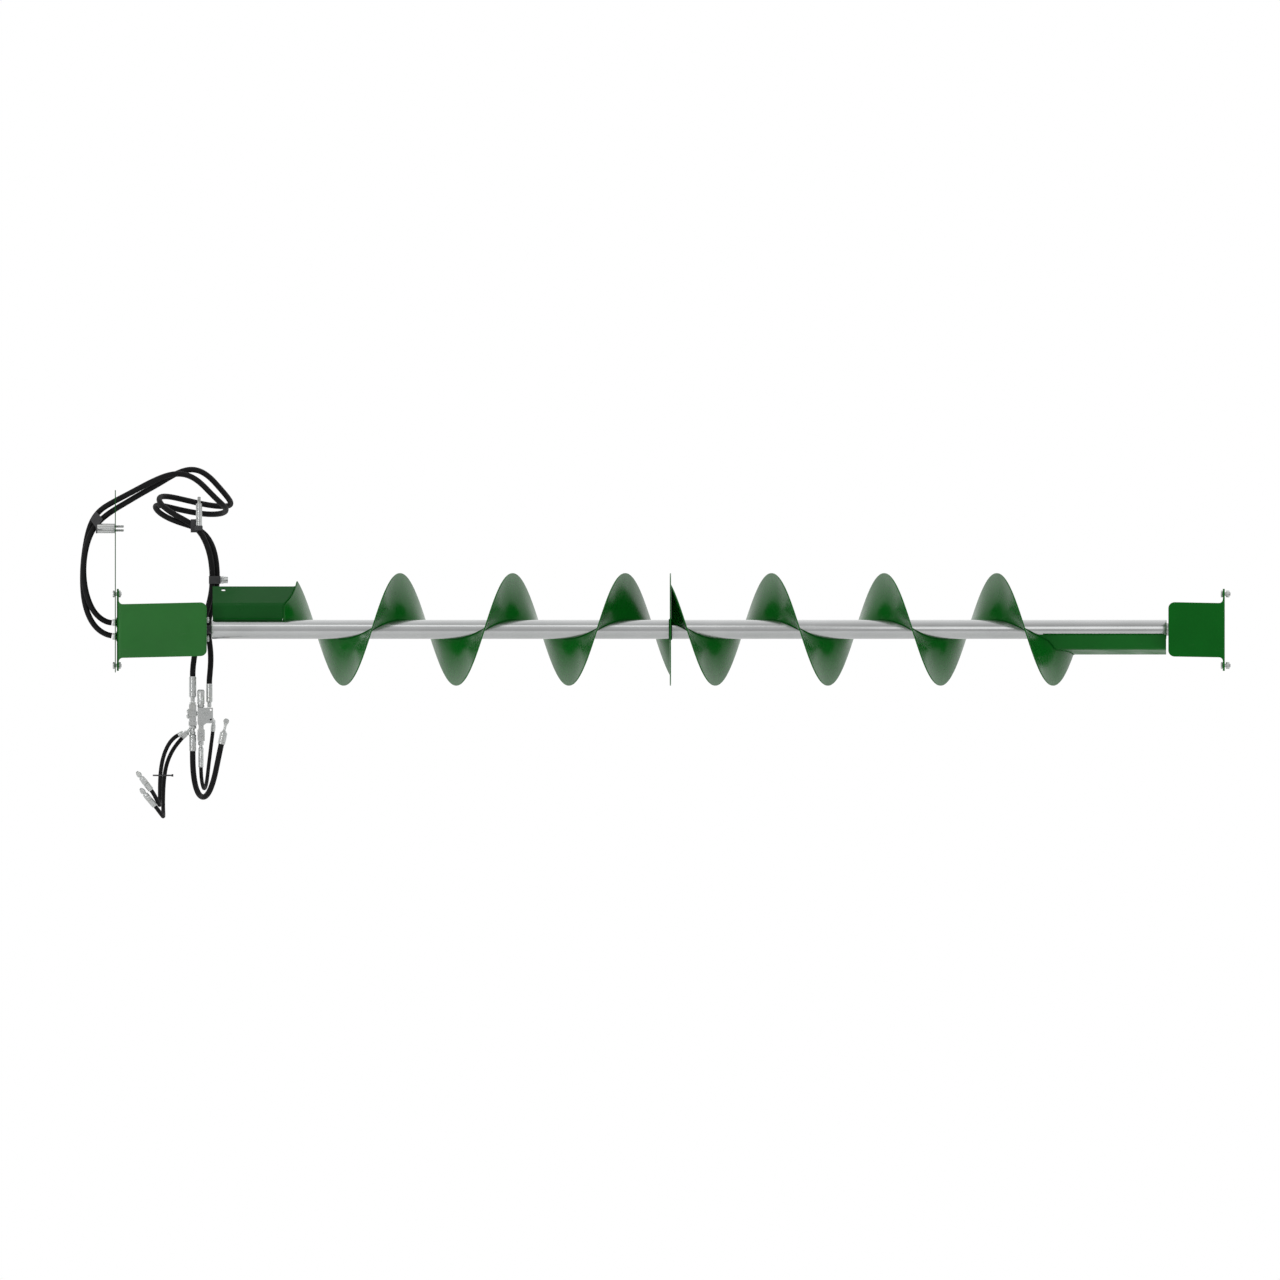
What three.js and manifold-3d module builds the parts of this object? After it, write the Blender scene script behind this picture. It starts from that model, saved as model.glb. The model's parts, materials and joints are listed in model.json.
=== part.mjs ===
// Hydraulically driven cross auger: a tube with two opposed flights, hung between the two side walls
// of a machine. A gear motor in a bent bracket drives one end, a flanged bearing carries the other,
// and two hoses lead from the motor over a clamp plate to a hanging group of valves and couplers.
// Millimetres. +X runs along the auger from the drive end, +Y to the back, +Z up. The origin is on
// the auger's axis, at the wall face of the motor bracket.

import * as THREE from 'three';
import { mergeVertices } from 'three/addons/utils/BufferGeometryUtils.js';
import Module from 'manifold-3d';

const wasm = await Module();
wasm.setup();

// ---- Driving dimensions ----

const WALL_SPAN = 3498.7; // wall face to wall face
const WALL_THICKNESS = 3; // side wall of the machine, left free between plates
const GAP = 0.3; // between pieces that touch
const PLATE = 6; // bracket steel

const TUBE = { start: 298.5, end: 3314.5, outer: 30.15, inner: 26.25 };
const FLIGHT = { radius: 177.8, pitch: 355.6, thickness: 4 };
const DISC = { x: 1748, thickness: 4, radius: 177.8 };
const PADDLE_THICKNESS = 5;

const BRACKET = { front: -92, back: 92, top: 128, bottom: -131, corner: 20, neck: 8 };
const WALL_BOLT = { y: 66, top: 112, bottom: -114, shank: 5.9, head: 11, hole: 6.8 };
const SHAFT_RADIUS = 12.7; // one inch shafts at both ends
const MOTOR = { bolt: 29.2, body: 42, port: 22, pilot: 22.2 };
const BEARING = { bolt: 49.5, stub: 20 };

const HOSE = { motor: 18, pilot: 12, coupler: 13 }; // outer diameters
const GROUP_Y = 165; // the valve group hangs in this plane, behind the auger

// ---- Colours ----

const green = steel('#1d6b26', 0.42, 0.2);
const darkGreen = steel('#1f4a24', 0.5, 0.2);
const bareTube = steel('#b4b7b8', 0.3, 0.9);
const zinc = steel('#b9bcbb', 0.38, 0.85);
const castIron = steel('#34373a', 0.6, 0.5);
const blackSteel = steel('#202224', 0.5, 0.6);
const rubber = steel('#1b1b1c', 0.75, 0);
const plastic = steel('#222223', 0.6, 0);

function steel(color, roughness, metalness) {
  return new THREE.MeshStandardMaterial({ color, roughness, metalness });
}

// ---- Solids ----

const group = new THREE.Group();
const X = new THREE.Vector3(1, 0, 0);
const Y = new THREE.Vector3(0, 1, 0);
const Z = new THREE.Vector3(0, 0, 1);

// A closed geometry as a solid, turned right side out if its faces point inwards.
function solid(geometry) {
  const bare = geometry.clone();
  bare.deleteAttribute('normal');
  bare.deleteAttribute('uv');
  const merged = mergeVertices(bare, 1e-4);
  const points = merged.getAttribute('position').array;
  const corners = Uint32Array.from(merged.getIndex().array);
  if (signedVolume(points, corners) < 0) {
    for (let i = 0; i < corners.length; i += 3) {
      [corners[i], corners[i + 1]] = [corners[i + 1], corners[i]];
    }
  }
  const vertProperties = Float32Array.from(points);
  return new wasm.Manifold(new wasm.Mesh({ numProp: 3, vertProperties, triVerts: corners }));
}

function signedVolume(points, corners) {
  const at = (i) => new THREE.Vector3().fromArray(points, 3 * corners[i]);
  let volume = 0;
  for (let i = 0; i < corners.length; i += 3) {
    volume += at(i).dot(at(i + 1).cross(at(i + 2))) / 6;
  }
  return volume;
}

// Adds one named piece to the assembly.
function add(name, shape, material) {
  const { vertProperties, triVerts } = shape.getMesh();
  const geometry = new THREE.BufferGeometry();
  geometry.setAttribute('position', new THREE.BufferAttribute(Float32Array.from(vertProperties), 3));
  geometry.setIndex(new THREE.BufferAttribute(Uint32Array.from(triVerts), 1));
  geometry.computeVertexNormals();
  const mesh = new THREE.Mesh(geometry, material);
  mesh.name = name;
  group.add(mesh);
  return shape;
}

function box(low, high) {
  const size = high.map((value, i) => value - low[i]);
  const middle = high.map((value, i) => (value + low[i]) / 2);
  return solid(new THREE.BoxGeometry(...size).translate(...middle));
}

// A turned piece: pairs of radius and distance along the direction, from the origin.
function turned(profile, origin, direction, segments = 16) {
  const outline = profile.map(([radius, along]) => new THREE.Vector2(radius, along));
  const geometry = new THREE.LatheGeometry(outline, segments);
  const turn = new THREE.Quaternion().setFromUnitVectors(Y, direction.clone().normalize());
  return solid(geometry.applyQuaternion(turn).translate(...origin));
}

function rod(radius, from, to, segments = 16) {
  const start = new THREE.Vector3(...from);
  const along = new THREE.Vector3(...to).sub(start);
  return turned([[0, 0], [radius, 0], [radius, along.length()], [0, along.length()]], from, along, segments);
}

// A hexagon's radius is measured to its corners.
function hexagon(radius, from, to) {
  return rod(radius, from, to, 6);
}

// A tube's wall between two radii, along X.
function sleeve(outer, inner, from, to, chamfer, segments = 24) {
  const outline = [
    [inner, from], [outer - chamfer, from], [outer, from + chamfer],
    [outer, to - chamfer], [outer - chamfer, to], [inner, to], [inner, from],
  ];
  return turned(outline, [0, 0, 0], X, segments);
}

// Plates: an outline in Y and Z, in X and Z or in X and Y, extruded between two places.
function plateX(outline, from, to) {
  return extruded(outline, to - from, [Y, Z, X], [from, 0, 0]);
}

function plateY(outline, from, to) {
  return extruded(outline, to - from, [X, Z, Y.clone().negate()], [0, to, 0]);
}

function plateZ(outline, from, to) {
  return extruded(outline, to - from, [X, Y, Z], [0, 0, from]);
}

function extruded(outline, depth, axes, origin) {
  const geometry = new THREE.ExtrudeGeometry(outline, { depth, bevelEnabled: false, curveSegments: 5 });
  const place = new THREE.Matrix4().makeBasis(...axes).setPosition(...origin);
  return solid(geometry.applyMatrix4(place));
}

function polygon(points) {
  return new THREE.Shape(points.map(([a, b]) => new THREE.Vector2(a, b)));
}

// A closed outline with rounded corners: each corner is [a, b, radius].
function roundedOutline(corners) {
  const shape = new THREE.Shape();
  const count = corners.length;
  corners.forEach(([a, b, radius], i) => {
    const corner = new THREE.Vector2(a, b);
    const before = new THREE.Vector2(...corners[(i + count - 1) % count]).sub(corner).normalize();
    const after = new THREE.Vector2(...corners[(i + 1) % count]).sub(corner).normalize();
    const reach = radius / Math.tan(before.angleTo(after) / 2);
    const start = corner.clone().addScaledVector(before, reach);
    const end = corner.clone().addScaledVector(after, reach);
    if (i === 0) {
      shape.moveTo(start.x, start.y);
    } else {
      shape.lineTo(start.x, start.y);
    }
    if (radius > 0) {
      shape.quadraticCurveTo(corner.x, corner.y, end.x, end.y);
    }
  });
  shape.closePath();
  return shape;
}

// ---- Hoses ----

// A smooth route drawn by its control points: a cubic B-spline that starts and ends on the outer ones.
class Route extends THREE.Curve {
  constructor(points) {
    super();
    const [first, second] = points;
    const [last, previous] = [points.at(-1), points.at(-2)];
    const mirrored = (end, next) => end.map((value, i) => 2 * value - next[i]);
    this.points = [mirrored(first, second), ...points, mirrored(last, previous)];
    this.arcLengthDivisions = 20 * points.length;
  }

  getPoint(t, target = new THREE.Vector3()) {
    const spans = this.points.length - 3;
    const span = Math.min(Math.floor(t * spans), spans - 1);
    const u = t * spans - span;
    const weights = [
      (1 - u) ** 3, 3 * u ** 3 - 6 * u ** 2 + 4, -3 * u ** 3 + 3 * u ** 2 + 3 * u + 1, u ** 3,
    ];
    target.set(0, 0, 0);
    weights.forEach((weight, i) => {
      target.addScaledVector(new THREE.Vector3(...this.points[span + i]), weight / 6);
    });
    return target;
  }
}

function hose(points, diameter, room = 0) {
  const path = new Route(points);
  const section = new THREE.Shape();
  const sides = 8;
  for (let i = 0; i < sides; i += 1) {
    const angle = (2 * Math.PI * i) / sides;
    const [a, b] = [Math.cos(angle), Math.sin(angle)].map((value) => value * (diameter / 2 + room));
    if (i === 0) {
      section.moveTo(a, b);
    } else {
      section.lineTo(a, b);
    }
  }
  section.closePath();
  const steps = Math.ceil(path.getLength() / (2.2 * diameter));
  return solid(new THREE.ExtrudeGeometry(section, { steps, extrudePath: path, bevelEnabled: false }));
}

// The last stretch of a route, for the fitting that follows it.
function leaving(points) {
  return new THREE.Vector3(...points.at(-1)).sub(new THREE.Vector3(...points.at(-2)));
}

const MOTOR_HOSE_A = [
  [-16, 0, 21], [-32, 0, 23], [-55, -2, 36], [-78, -6, 62], [-95, -10, 104], [-104, -11, 150],
  [-106, -11, 196], [-101, -11, 244], [-89, -10, 290], [-68, -5, 330], [-38, -1, 358], [-4, 4, 381],
  [34, 14, 403], [72, 27, 426], [108, 42, 446], [140, 58, 464], [170, 75, 483], [202, 92, 499],
  [235, 107, 507], [267, 122, 500], [296, 138, 479], [320, 155, 452], [341, 177, 428], [356, 205, 409],
  [361, 237, 397], [355, 269, 390], [335, 296, 388], [305, 314, 390], [270, 321, 396], [235, 323, 404],
  [201, 321, 412], [169, 312, 419], [145, 293, 421], [133, 266, 416], [134, 237, 403], [147, 211, 387],
  [170, 192, 370], [198, 180, 354], [226, 175, 339], [250, 173, 322], [270, 174, 298], [285, 178, 266],
  [295, 182, 232], [300, 186, 197], [302, 190, 160], [300, 192, 124], [293, 191, 88], [282, 188, 50],
  [269, 184, 12], [257, 179, -28], [248, 173, -66], [242, 168, -102], [239.5, 165, -132],
  [239.5, 165, -149],
];

const MOTOR_HOSE_B = [
  [-16, 0, -20], [-32, 0, -17], [-58, 2, -3], [-83, 6, 27], [-100, 10, 72], [-107, 11, 120],
  [-108, 11, 168], [-106, 11, 214], [-100, 12, 260], [-92, 12, 304], [-78, 7, 346], [-53, 1, 378],
  [-20, 1, 398], [18, 4, 418], [56, 11, 438], [93, 21, 458], [128, 32, 475], [162, 45, 488],
  [197, 62, 493], [230, 82, 486], [259, 103, 468], [284, 123, 443], [307, 143, 419], [327, 166, 400],
  [341, 195, 387], [346, 228, 377], [340, 261, 369], [322, 290, 364], [294, 311, 363], [261, 323, 366],
  [227, 329, 372], [194, 330, 379], [162, 323, 387], [137, 305, 392], [123, 279, 392], [121, 249, 385],
  [131, 222, 371], [153, 204, 356], [182, 195, 343], [212, 192, 333], [241, 193, 324], [267, 195, 311],
  [288, 197, 290], [303, 199, 262], [312, 201, 228], [316, 204, 194], [317, 207, 158], [314, 210, 122],
  [305, 212, 86], [294, 211, 50], [288, 207, 14], [290, 200, -24], [296, 190, -64], [297, 180, -102],
  [294, 170, -138], [292, 165, -160], [292, 165, -172],
];

const SUPPLY_HOSE = [
  [239.5, 165, -384], [239.5, 165, -400], [240, 164, -434], [243, 158, -468], [249, 141, -500],
  [259, 114, -523], [272, 84, -532], [286, 54, -524], [298, 30, -500], [308, 17, -468], [315, 13, -434],
  [322, 12, -400], [327, 12, -376], [330, 12, -362],
];

const PILOT_HOSE = [
  [265.6, 165, -436], [266, 166, -456], [268, 176, -480], [272, 196, -498], [276, 218, -504],
  [280, 241, -499], [284, 259, -481], [287, 267, -456], [290, 265, -428], [294, 254, -396],
  [298, 240, -362], [302, 226, -332], [303, 222, -321],
];

const COUPLER_HOSE_1 = [
  [194, 147, -334], [184, 147, -339], [165, 146, -358], [150, 145, -390], [141, 144, -425],
  [137, 143, -461], [136, 142, -494], [136, 135, -524], [136, 116, -547], [136, 88, -557],
  [132, 62, -550], [123, 45, -532], [114, 36, -515], [107, 31, -506],
];

const COUPLER_HOSE_2 = [
  [207, 183, -342], [200, 183, -350], [183, 184, -370], [166, 185, -400], [155, 185, -432],
  [150, 184, -464], [147, 183, -500], [146, 179, -535], [146, 166, -565], [147, 142, -585],
  [147, 113, -593], [142, 86, -586], [132, 68, -573], [124, 59, -562], [119, 55, -556],
];

add('motor_hose_a', hose(MOTOR_HOSE_A, HOSE.motor), rubber);
add('motor_hose_b', hose(MOTOR_HOSE_B, HOSE.motor), rubber);
add('supply_hose', hose(SUPPLY_HOSE, HOSE.motor), rubber);
add('pilot_hose', hose(PILOT_HOSE, HOSE.pilot), rubber);
add('coupler_hose_1', hose(COUPLER_HOSE_1, HOSE.coupler), rubber);
add('coupler_hose_2', hose(COUPLER_HOSE_2, HOSE.coupler), rubber);

// The space that the two motor hoses take, for the clamps that close on them.
const hoseRoom = hose(MOTOR_HOSE_A, HOSE.motor, 0.4).add(hose(MOTOR_HOSE_B, HOSE.motor, 0.4));

// ---- Rotor ----

// Angles are measured about the axis from +Y towards +Z, in degrees. Both flights wind towards the
// disc, so one is left handed and the other right handed.
const LEFT_HELIX = { x: 894, angle: 90, turn: -1 };
const RIGHT_HELIX = { x: 2956.5, angle: 270, turn: 1 };
const SHEET_RADII = [TUBE.outer + 0.45, 66, 118, FLIGHT.radius];
const ROOM_RADII = [20, ...SHEET_RADII, FLIGHT.radius + 12];

// Half of the sheet, measured along X, which grows as the flight steepens towards the tube.
function halfSheet(radius) {
  return (FLIGHT.thickness / 2) * Math.hypot(1, FLIGHT.pitch / (2 * Math.PI * radius));
}

// A helical body between two angles. At every radius it reaches from "before" to "after" along X.
function helicoid(helix, radii, fromAngle, toAngle, before, after) {
  const steps = Math.abs(toAngle - fromAngle) / 10;
  const rows = radii.length;
  const positions = [];
  for (let i = 0; i <= steps; i += 1) {
    const degrees = THREE.MathUtils.lerp(fromAngle, toAngle, i / steps);
    const angle = THREE.MathUtils.degToRad(degrees);
    const x = helix.x + (helix.turn * FLIGHT.pitch * (degrees - helix.angle)) / 360;
    for (const reach of [before, after]) {
      radii.forEach((radius) => {
        positions.push(x + reach(radius), radius * Math.cos(angle), radius * Math.sin(angle));
      });
    }
  }
  const at = (i, side, row) => (2 * i + side) * rows + row;
  const quads = [];
  for (let i = 0; i < steps; i += 1) {
    for (let row = 0; row < rows - 1; row += 1) {
      quads.push([at(i, 0, row), at(i, 0, row + 1), at(i + 1, 0, row + 1), at(i + 1, 0, row)]);
      quads.push([at(i, 1, row), at(i + 1, 1, row), at(i + 1, 1, row + 1), at(i, 1, row + 1)]);
    }
    quads.push([at(i + 1, 0, 0), at(i + 1, 1, 0), at(i, 1, 0), at(i, 0, 0)]);
    quads.push([at(i, 0, rows - 1), at(i, 1, rows - 1), at(i + 1, 1, rows - 1), at(i + 1, 0, rows - 1)]);
  }
  for (let row = 0; row < rows - 1; row += 1) {
    quads.push([at(0, 0, row), at(0, 1, row), at(0, 1, row + 1), at(0, 0, row + 1)]);
    quads.push([at(steps, 0, row + 1), at(steps, 1, row + 1), at(steps, 1, row), at(steps, 0, row)]);
  }
  const geometry = new THREE.BufferGeometry();
  geometry.setAttribute('position', new THREE.Float32BufferAttribute(positions, 3));
  geometry.setIndex(quads.flatMap(([p, q, r, t]) => [p, q, r, p, r, t]));
  return solid(geometry);
}

// A paddle's section is a sheet bent once, drawn in Y and Z from the tube outwards along its middle.
function bentSection(root, corner, tip, radius) {
  const [start, bend, end] = [root, corner, tip].map((point) => new THREE.Vector2(...point));
  const back = start.clone().sub(bend).normalize().multiplyScalar(radius);
  const on = end.clone().sub(bend).normalize().multiplyScalar(radius);
  const arc = new THREE.QuadraticBezierCurve(bend.clone().add(back), bend, bend.clone().add(on));
  return [start, ...arc.getPoints(4), end];
}

// The section as a closed outline, as wide as the sheet is thick.
function sheetOutline(section, thickness) {
  const sides = [[], []];
  section.forEach((point, i) => {
    const before = section[Math.max(i - 1, 0)];
    const after = section[Math.min(i + 1, section.length - 1)];
    const along = after.clone().sub(before).normalize();
    const across = new THREE.Vector2(-along.y, along.x).multiplyScalar(thickness / 2);
    sides[0].push(point.clone().add(across));
    sides[1].push(point.clone().sub(across));
  });
  return new THREE.Shape([...sides[0], ...sides[1].reverse()]);
}

// The side of a section on which the flight has ended, closed by far corners.
function endedSide(section, far) {
  const inner = section[0].clone().sub(section[1]).setLength(8).add(section[0]);
  const outer = section.at(-1).clone().sub(section.at(-2)).setLength(120).add(section.at(-1));
  return new THREE.Shape([inner, ...section, outer, ...far.map((corner) => new THREE.Vector2(...corner))]);
}

// The hole near a paddle's outer corner, square to its outer leg.
function paddleHole(section, x, height) {
  const [inner, tip] = [section.at(-2), section.at(-1)];
  const point = inner.clone().lerp(tip, (height - inner.y) / (tip.y - inner.y));
  const along = tip.clone().sub(inner).normalize();
  const centre = new THREE.Vector3(x, point.x, point.y);
  const normal = new THREE.Vector3(0, -along.y, along.x).multiplyScalar(20);
  return rod(7.5, centre.clone().sub(normal).toArray(), centre.clone().add(normal).toArray(), 20);
}

const LEFT_SECTION = bentSection([-5.6, 29], [-14.8, 78], [66.3, 133.9], 16);
const RIGHT_SECTION = bentSection([-23.8, -14], [2.5, -61.6], [158, -77], 22);
const PADDLE = { start: TUBE.start + 4, end: TUBE.end - 1, hole: 34 };
const tubeRoom = rod(TUBE.outer + 0.45, [TUBE.start - 9, 0, 0], [TUBE.end + 9, 0, 0], 32);
const discSide = (reach) => rod(
  FLIGHT.radius + 12, [DISC.x - DISC.thickness / 2 - GAP, 0, 0], [reach, 0, 0], 24)
  .add(rod(FLIGHT.radius + 12, [DISC.x + DISC.thickness / 2 + GAP, 0, 0], [reach, 0, 0], 24));

add('auger_tube', sleeve(TUBE.outer, TUBE.inner, TUBE.start, TUBE.end, 1.5, 32), bareTube);

// Each flight is drawn past both of its ends, then cut along its paddle and along the disc.
const bothSides = [(radius) => -halfSheet(radius), halfSheet];
add('left_flight', helicoid(LEFT_HELIX, SHEET_RADII, 490, -790, ...bothSides)
  .subtract(plateX(endedSide(LEFT_SECTION, [[90, 300], [-300, 300], [-300, -50]]), 400, 620))
  .subtract(discSide(DISC.x + 90)), green);
add('right_flight', helicoid(RIGHT_HELIX, SHEET_RADII, -960, 380, ...bothSides)
  .subtract(plateX(endedSide(RIGHT_SECTION, [[300, 200]]), 2880, 3100))
  .subtract(discSide(DISC.x - 90)), green);
add('divider_disc', sleeve(
  DISC.radius, TUBE.outer + 0.45, DISC.x - DISC.thickness / 2, DISC.x + DISC.thickness / 2, 0.6, 40,
), green);

// The paddles run from near the tube's ends to the flights' faces.
const leftRoom = helicoid(LEFT_HELIX, ROOM_RADII, 490, 380, (radius) => -halfSheet(radius) - 0.8, () => 110);
const rightRoom = helicoid(
  RIGHT_HELIX, ROOM_RADII, 200, 380, () => -200, (radius) => halfSheet(radius) + 0.8);
add('left_paddle', plateX(sheetOutline(LEFT_SECTION, PADDLE_THICKNESS), PADDLE.start, 610)
  .subtract(leftRoom)
  .subtract(tubeRoom)
  .subtract(paddleHole(LEFT_SECTION, PADDLE.start + PADDLE.hole, 122)), darkGreen);
add('right_paddle', plateX(sheetOutline(RIGHT_SECTION, PADDLE_THICKNESS), 2860, PADDLE.end)
  .subtract(rightRoom)
  .subtract(tubeRoom)
  .subtract(paddleHole(RIGHT_SECTION, PADDLE.end - PADDLE.hole, -75.4)), green);

// Drive end of the rotor: the motor's shaft turns a hub inside the tube through a key.
const HUB = { from: TUBE.start + 0.5, to: 362, bore: SHAFT_RADIUS + GAP };
const SHAFT = { from: 232, to: 352 };
const KEY = { from: 306, to: 346, half: 3.2, low: 8.5, high: 15.5 };
const hubProfile = [
  [HUB.bore, HUB.from], [TUBE.inner - GAP, HUB.from], [TUBE.inner - GAP, HUB.to],
  [0, HUB.to], [0, SHAFT.to + 2], [HUB.bore, SHAFT.to + 2], [HUB.bore, HUB.from],
];
const keyRoom = box(
  [KEY.from - GAP, -KEY.half - GAP, KEY.low - GAP], [KEY.to + GAP, KEY.half + GAP, KEY.high + GAP]);
const keySlot = box(
  [HUB.from - 1, -KEY.half - GAP, KEY.low], [KEY.to + GAP, KEY.half + GAP, KEY.high + GAP]);
add('drive_hub', turned(hubProfile, [0, 0, 0], X, 24).subtract(keySlot), blackSteel);
add('motor_shaft', turned([
  [0, SHAFT.from], [SHAFT_RADIUS, SHAFT.from], [SHAFT_RADIUS, SHAFT.to - 2], [SHAFT_RADIUS - 2, SHAFT.to],
  [0, SHAFT.to],
], [0, 0, 0], X, 24).subtract(keyRoom), blackSteel);
add('shaft_key', box([KEY.from, -KEY.half, KEY.low], [KEY.to, KEY.half, KEY.high]), blackSteel);

// Bearing end of the rotor: a stub shaft pressed into the tube, and the ring that turns with it.
const STUB = { from: 3228, shoulder: 3326, to: 3382 };
add('stub_shaft', turned([
  [0, STUB.from], [TUBE.inner - GAP, STUB.from], [TUBE.inner - GAP, TUBE.end - 0.5],
  [BEARING.stub, TUBE.end + 0.5],
  [BEARING.stub, STUB.shoulder], [SHAFT_RADIUS, STUB.shoulder], [SHAFT_RADIUS, STUB.to - 2],
  [SHAFT_RADIUS - 2, STUB.to], [0, STUB.to],
], [0, 0, 0], X, 24), zinc);
const RING = { outer: 19, from: 3326.4, to: 3364 };
add('bearing_inner_ring', sleeve(RING.outer, SHAFT_RADIUS + GAP, RING.from, RING.to, 0.8), zinc);

// ---- Brackets ----

// A plate bent into a C in plan: a wide flange on the wall, a web in front and a flange that carries
// the motor or the bearing. Distances run from the wall face. The web's edges fall towards the wall.
function bentBracket({ depth, wallTop, innerTop, wallBottom, innerBottom, flangeBack }) {
  const { front, back, top, bottom, corner, neck } = BRACKET;
  const bend = 9;
  const outer = [
    [0, back, 0], [0, front, bend], [depth, front, bend], [depth, flangeBack, 0],
    [depth - PLATE, flangeBack, 0], [depth - PLATE, front + PLATE, 3], [PLATE, front + PLATE, 3],
    [PLATE, back, 0],
  ];
  const shell = plateZ(roundedOutline(outer), bottom, top);
  const web = PLATE + 3;
  const outline = roundedOutline([
    [-5, top + 5, 0], [-5, bottom - 5, 0], [web - 2, bottom - 5, 0], [web - 1, wallBottom, neck],
    [depth, innerBottom, corner], [depth + 5, (innerBottom + wallBottom) / 2 + corner, 0],
    [depth + 5, (innerTop + wallTop) / 2 - corner, 0], [depth, innerTop, corner],
    [web - 1, wallTop, neck], [web - 2, top + 5, 0],
  ]);
  return shell.intersect(plateY(outline, front - 5, back + 5));
}

const wallBoltPlaces = [];
for (const y of [-WALL_BOLT.y, WALL_BOLT.y]) {
  for (const z of [WALL_BOLT.bottom, WALL_BOLT.top]) {
    wallBoltPlaces.push([y, z]);
  }
}

function wallHoles(from, to) {
  const holes = wallBoltPlaces.map(([y, z]) => rod(WALL_BOLT.hole, [from, y, z], [to, y, z], 14));
  return holes.reduce((all, hole) => all.add(hole));
}

const MOTOR_FACE = 284; // outer side of the flange that carries the motor
const BEARING_DEPTH = 178.4;
const PORT_HOLE = 13;
const portHoles = rod(PORT_HOLE, [-9, 0, MOTOR.port], [9, 0, MOTOR.port], 20)
  .add(rod(PORT_HOLE, [-9, 0, -MOTOR.port], [9, 0, -MOTOR.port], 20));
const portCollars = rod(PORT_HOLE + 2.5, [-2, 0, MOTOR.port], [1, 0, MOTOR.port], 20)
  .add(rod(PORT_HOLE + 2.5, [-2, 0, -MOTOR.port], [1, 0, -MOTOR.port], 20));

const motorBoltPlaces = [];
for (const y of [-MOTOR.bolt, MOTOR.bolt]) {
  for (const z of [-MOTOR.bolt, MOTOR.bolt]) {
    motorBoltPlaces.push([y, z]);
  }
}
const motorBoltHoles = motorBoltPlaces
  .map(([y, z]) => rod(5.9, [MOTOR_FACE - 22, y, z], [MOTOR_FACE + 2, y, z], 12))
  .reduce((all, hole) => all.add(hole));

add('motor_bracket', bentBracket({
  depth: MOTOR_FACE, wallTop: 79.6, innerTop: 85.8, wallBottom: -90.3, innerBottom: -84, flangeBack: 66,
}).add(portCollars)
  .subtract(portHoles)
  .subtract(wallHoles(-3, 12))
  .subtract(rod(MOTOR.pilot + 0.5, [MOTOR_FACE - 12, 0, 0], [MOTOR_FACE + 3, 0, 0], 28))
  .subtract(motorBoltHoles), green);

const toFarWall = new THREE.Matrix4().makeScale(-1, 1, 1).setPosition(WALL_SPAN, 0, 0);
const bearingBoltPlaces = [-BEARING.bolt, BEARING.bolt];
const bearingFace = WALL_SPAN - BEARING_DEPTH;
const bearingBoltHoles = bearingBoltPlaces
  .map((z) => rod(5.4, [bearingFace - 3, 0, z], [bearingFace + 60, 0, z], 12))
  .reduce((all, hole) => all.add(hole));

add('bearing_bracket', bentBracket({
  depth: BEARING_DEPTH, wallTop: 83.1, innerTop: 86.4, wallBottom: -88.5, innerBottom: -85.5, flangeBack: 66,
}).transform(toFarWall.toArray())
  .subtract(wallHoles(WALL_SPAN - 9, WALL_SPAN + 3))
  .subtract(rod(BEARING.stub + 3, [bearingFace - 3, 0, 0], [bearingFace + 12, 0, 0], 24))
  .subtract(bearingBoltHoles), green);

// Wall bolts, each with its nut run on. The near ones have their heads outside the wall, the far
// ones inside, as the brackets leave room.
function wallBolt(headFrom, shankTo, nutFrom, nutTo, [y, z]) {
  const sense = Math.sign(shankTo - headFrom);
  const { head, shank } = WALL_BOLT;
  return hexagon(head, [headFrom, y, z], [headFrom + 6.5 * sense, y, z])
    .add(rod(shank, [headFrom, y, z], [shankTo, y, z], 12))
    .add(hexagon(head, [nutFrom, y, z], [nutTo, y, z]));
}

const supportFront = -WALL_THICKNESS - GAP; // wall side of the support plate
const SUPPORT_THICKNESS = 3;
const supportFace = supportFront - SUPPORT_THICKNESS;
wallBoltPlaces.forEach((place, i) => {
  add(`drive_wall_bolt_${i + 1}`, wallBolt(supportFace - GAP - 6.5, 15, PLATE + GAP, 13, place), zinc);
});
wallBoltPlaces.forEach((place, i) => {
  const head = WALL_SPAN - PLATE - GAP - 6.5;
  const nut = WALL_SPAN + WALL_THICKNESS + GAP;
  add(`idler_wall_bolt_${i + 1}`, wallBolt(head, nut + 15, nut, nut + 12, place), zinc);
});

// ---- Hydraulic motor ----

const motorFace = MOTOR_FACE - PLATE - GAP;
const GEAR = { from: 198, to: 224 };
const COVER_FROM = 150;
const flangeCorner = MOTOR.bolt + 13;
const motorFlange = plateX(roundedOutline([
  [-flangeCorner, -flangeCorner, 12], [flangeCorner, -flangeCorner, 12],
  [flangeCorner, flangeCorner, 12], [-flangeCorner, flangeCorner, 12],
]), motorFace - 14, motorFace);
add('motor_front_housing', motorFlange
  .add(rod(38, [GEAR.to + GAP, 0, 0], [motorFace - 10, 0, 0], 24))
  .add(rod(MOTOR.pilot, [motorFace - 4, 0, 0], [MOTOR_FACE - 1, 0, 0], 24))
  .subtract(rod(SHAFT_RADIUS + GAP, [SHAFT.from - 2, 0, 0], [MOTOR_FACE + 2, 0, 0], 24))
  .subtract(motorBoltHoles), castIron);
add('motor_gear_section', turned([
  [0, GEAR.from], [MOTOR.body, GEAR.from], [MOTOR.body, GEAR.to], [0, GEAR.to],
], [0, 0, 0], X, 28), castIron);

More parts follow.
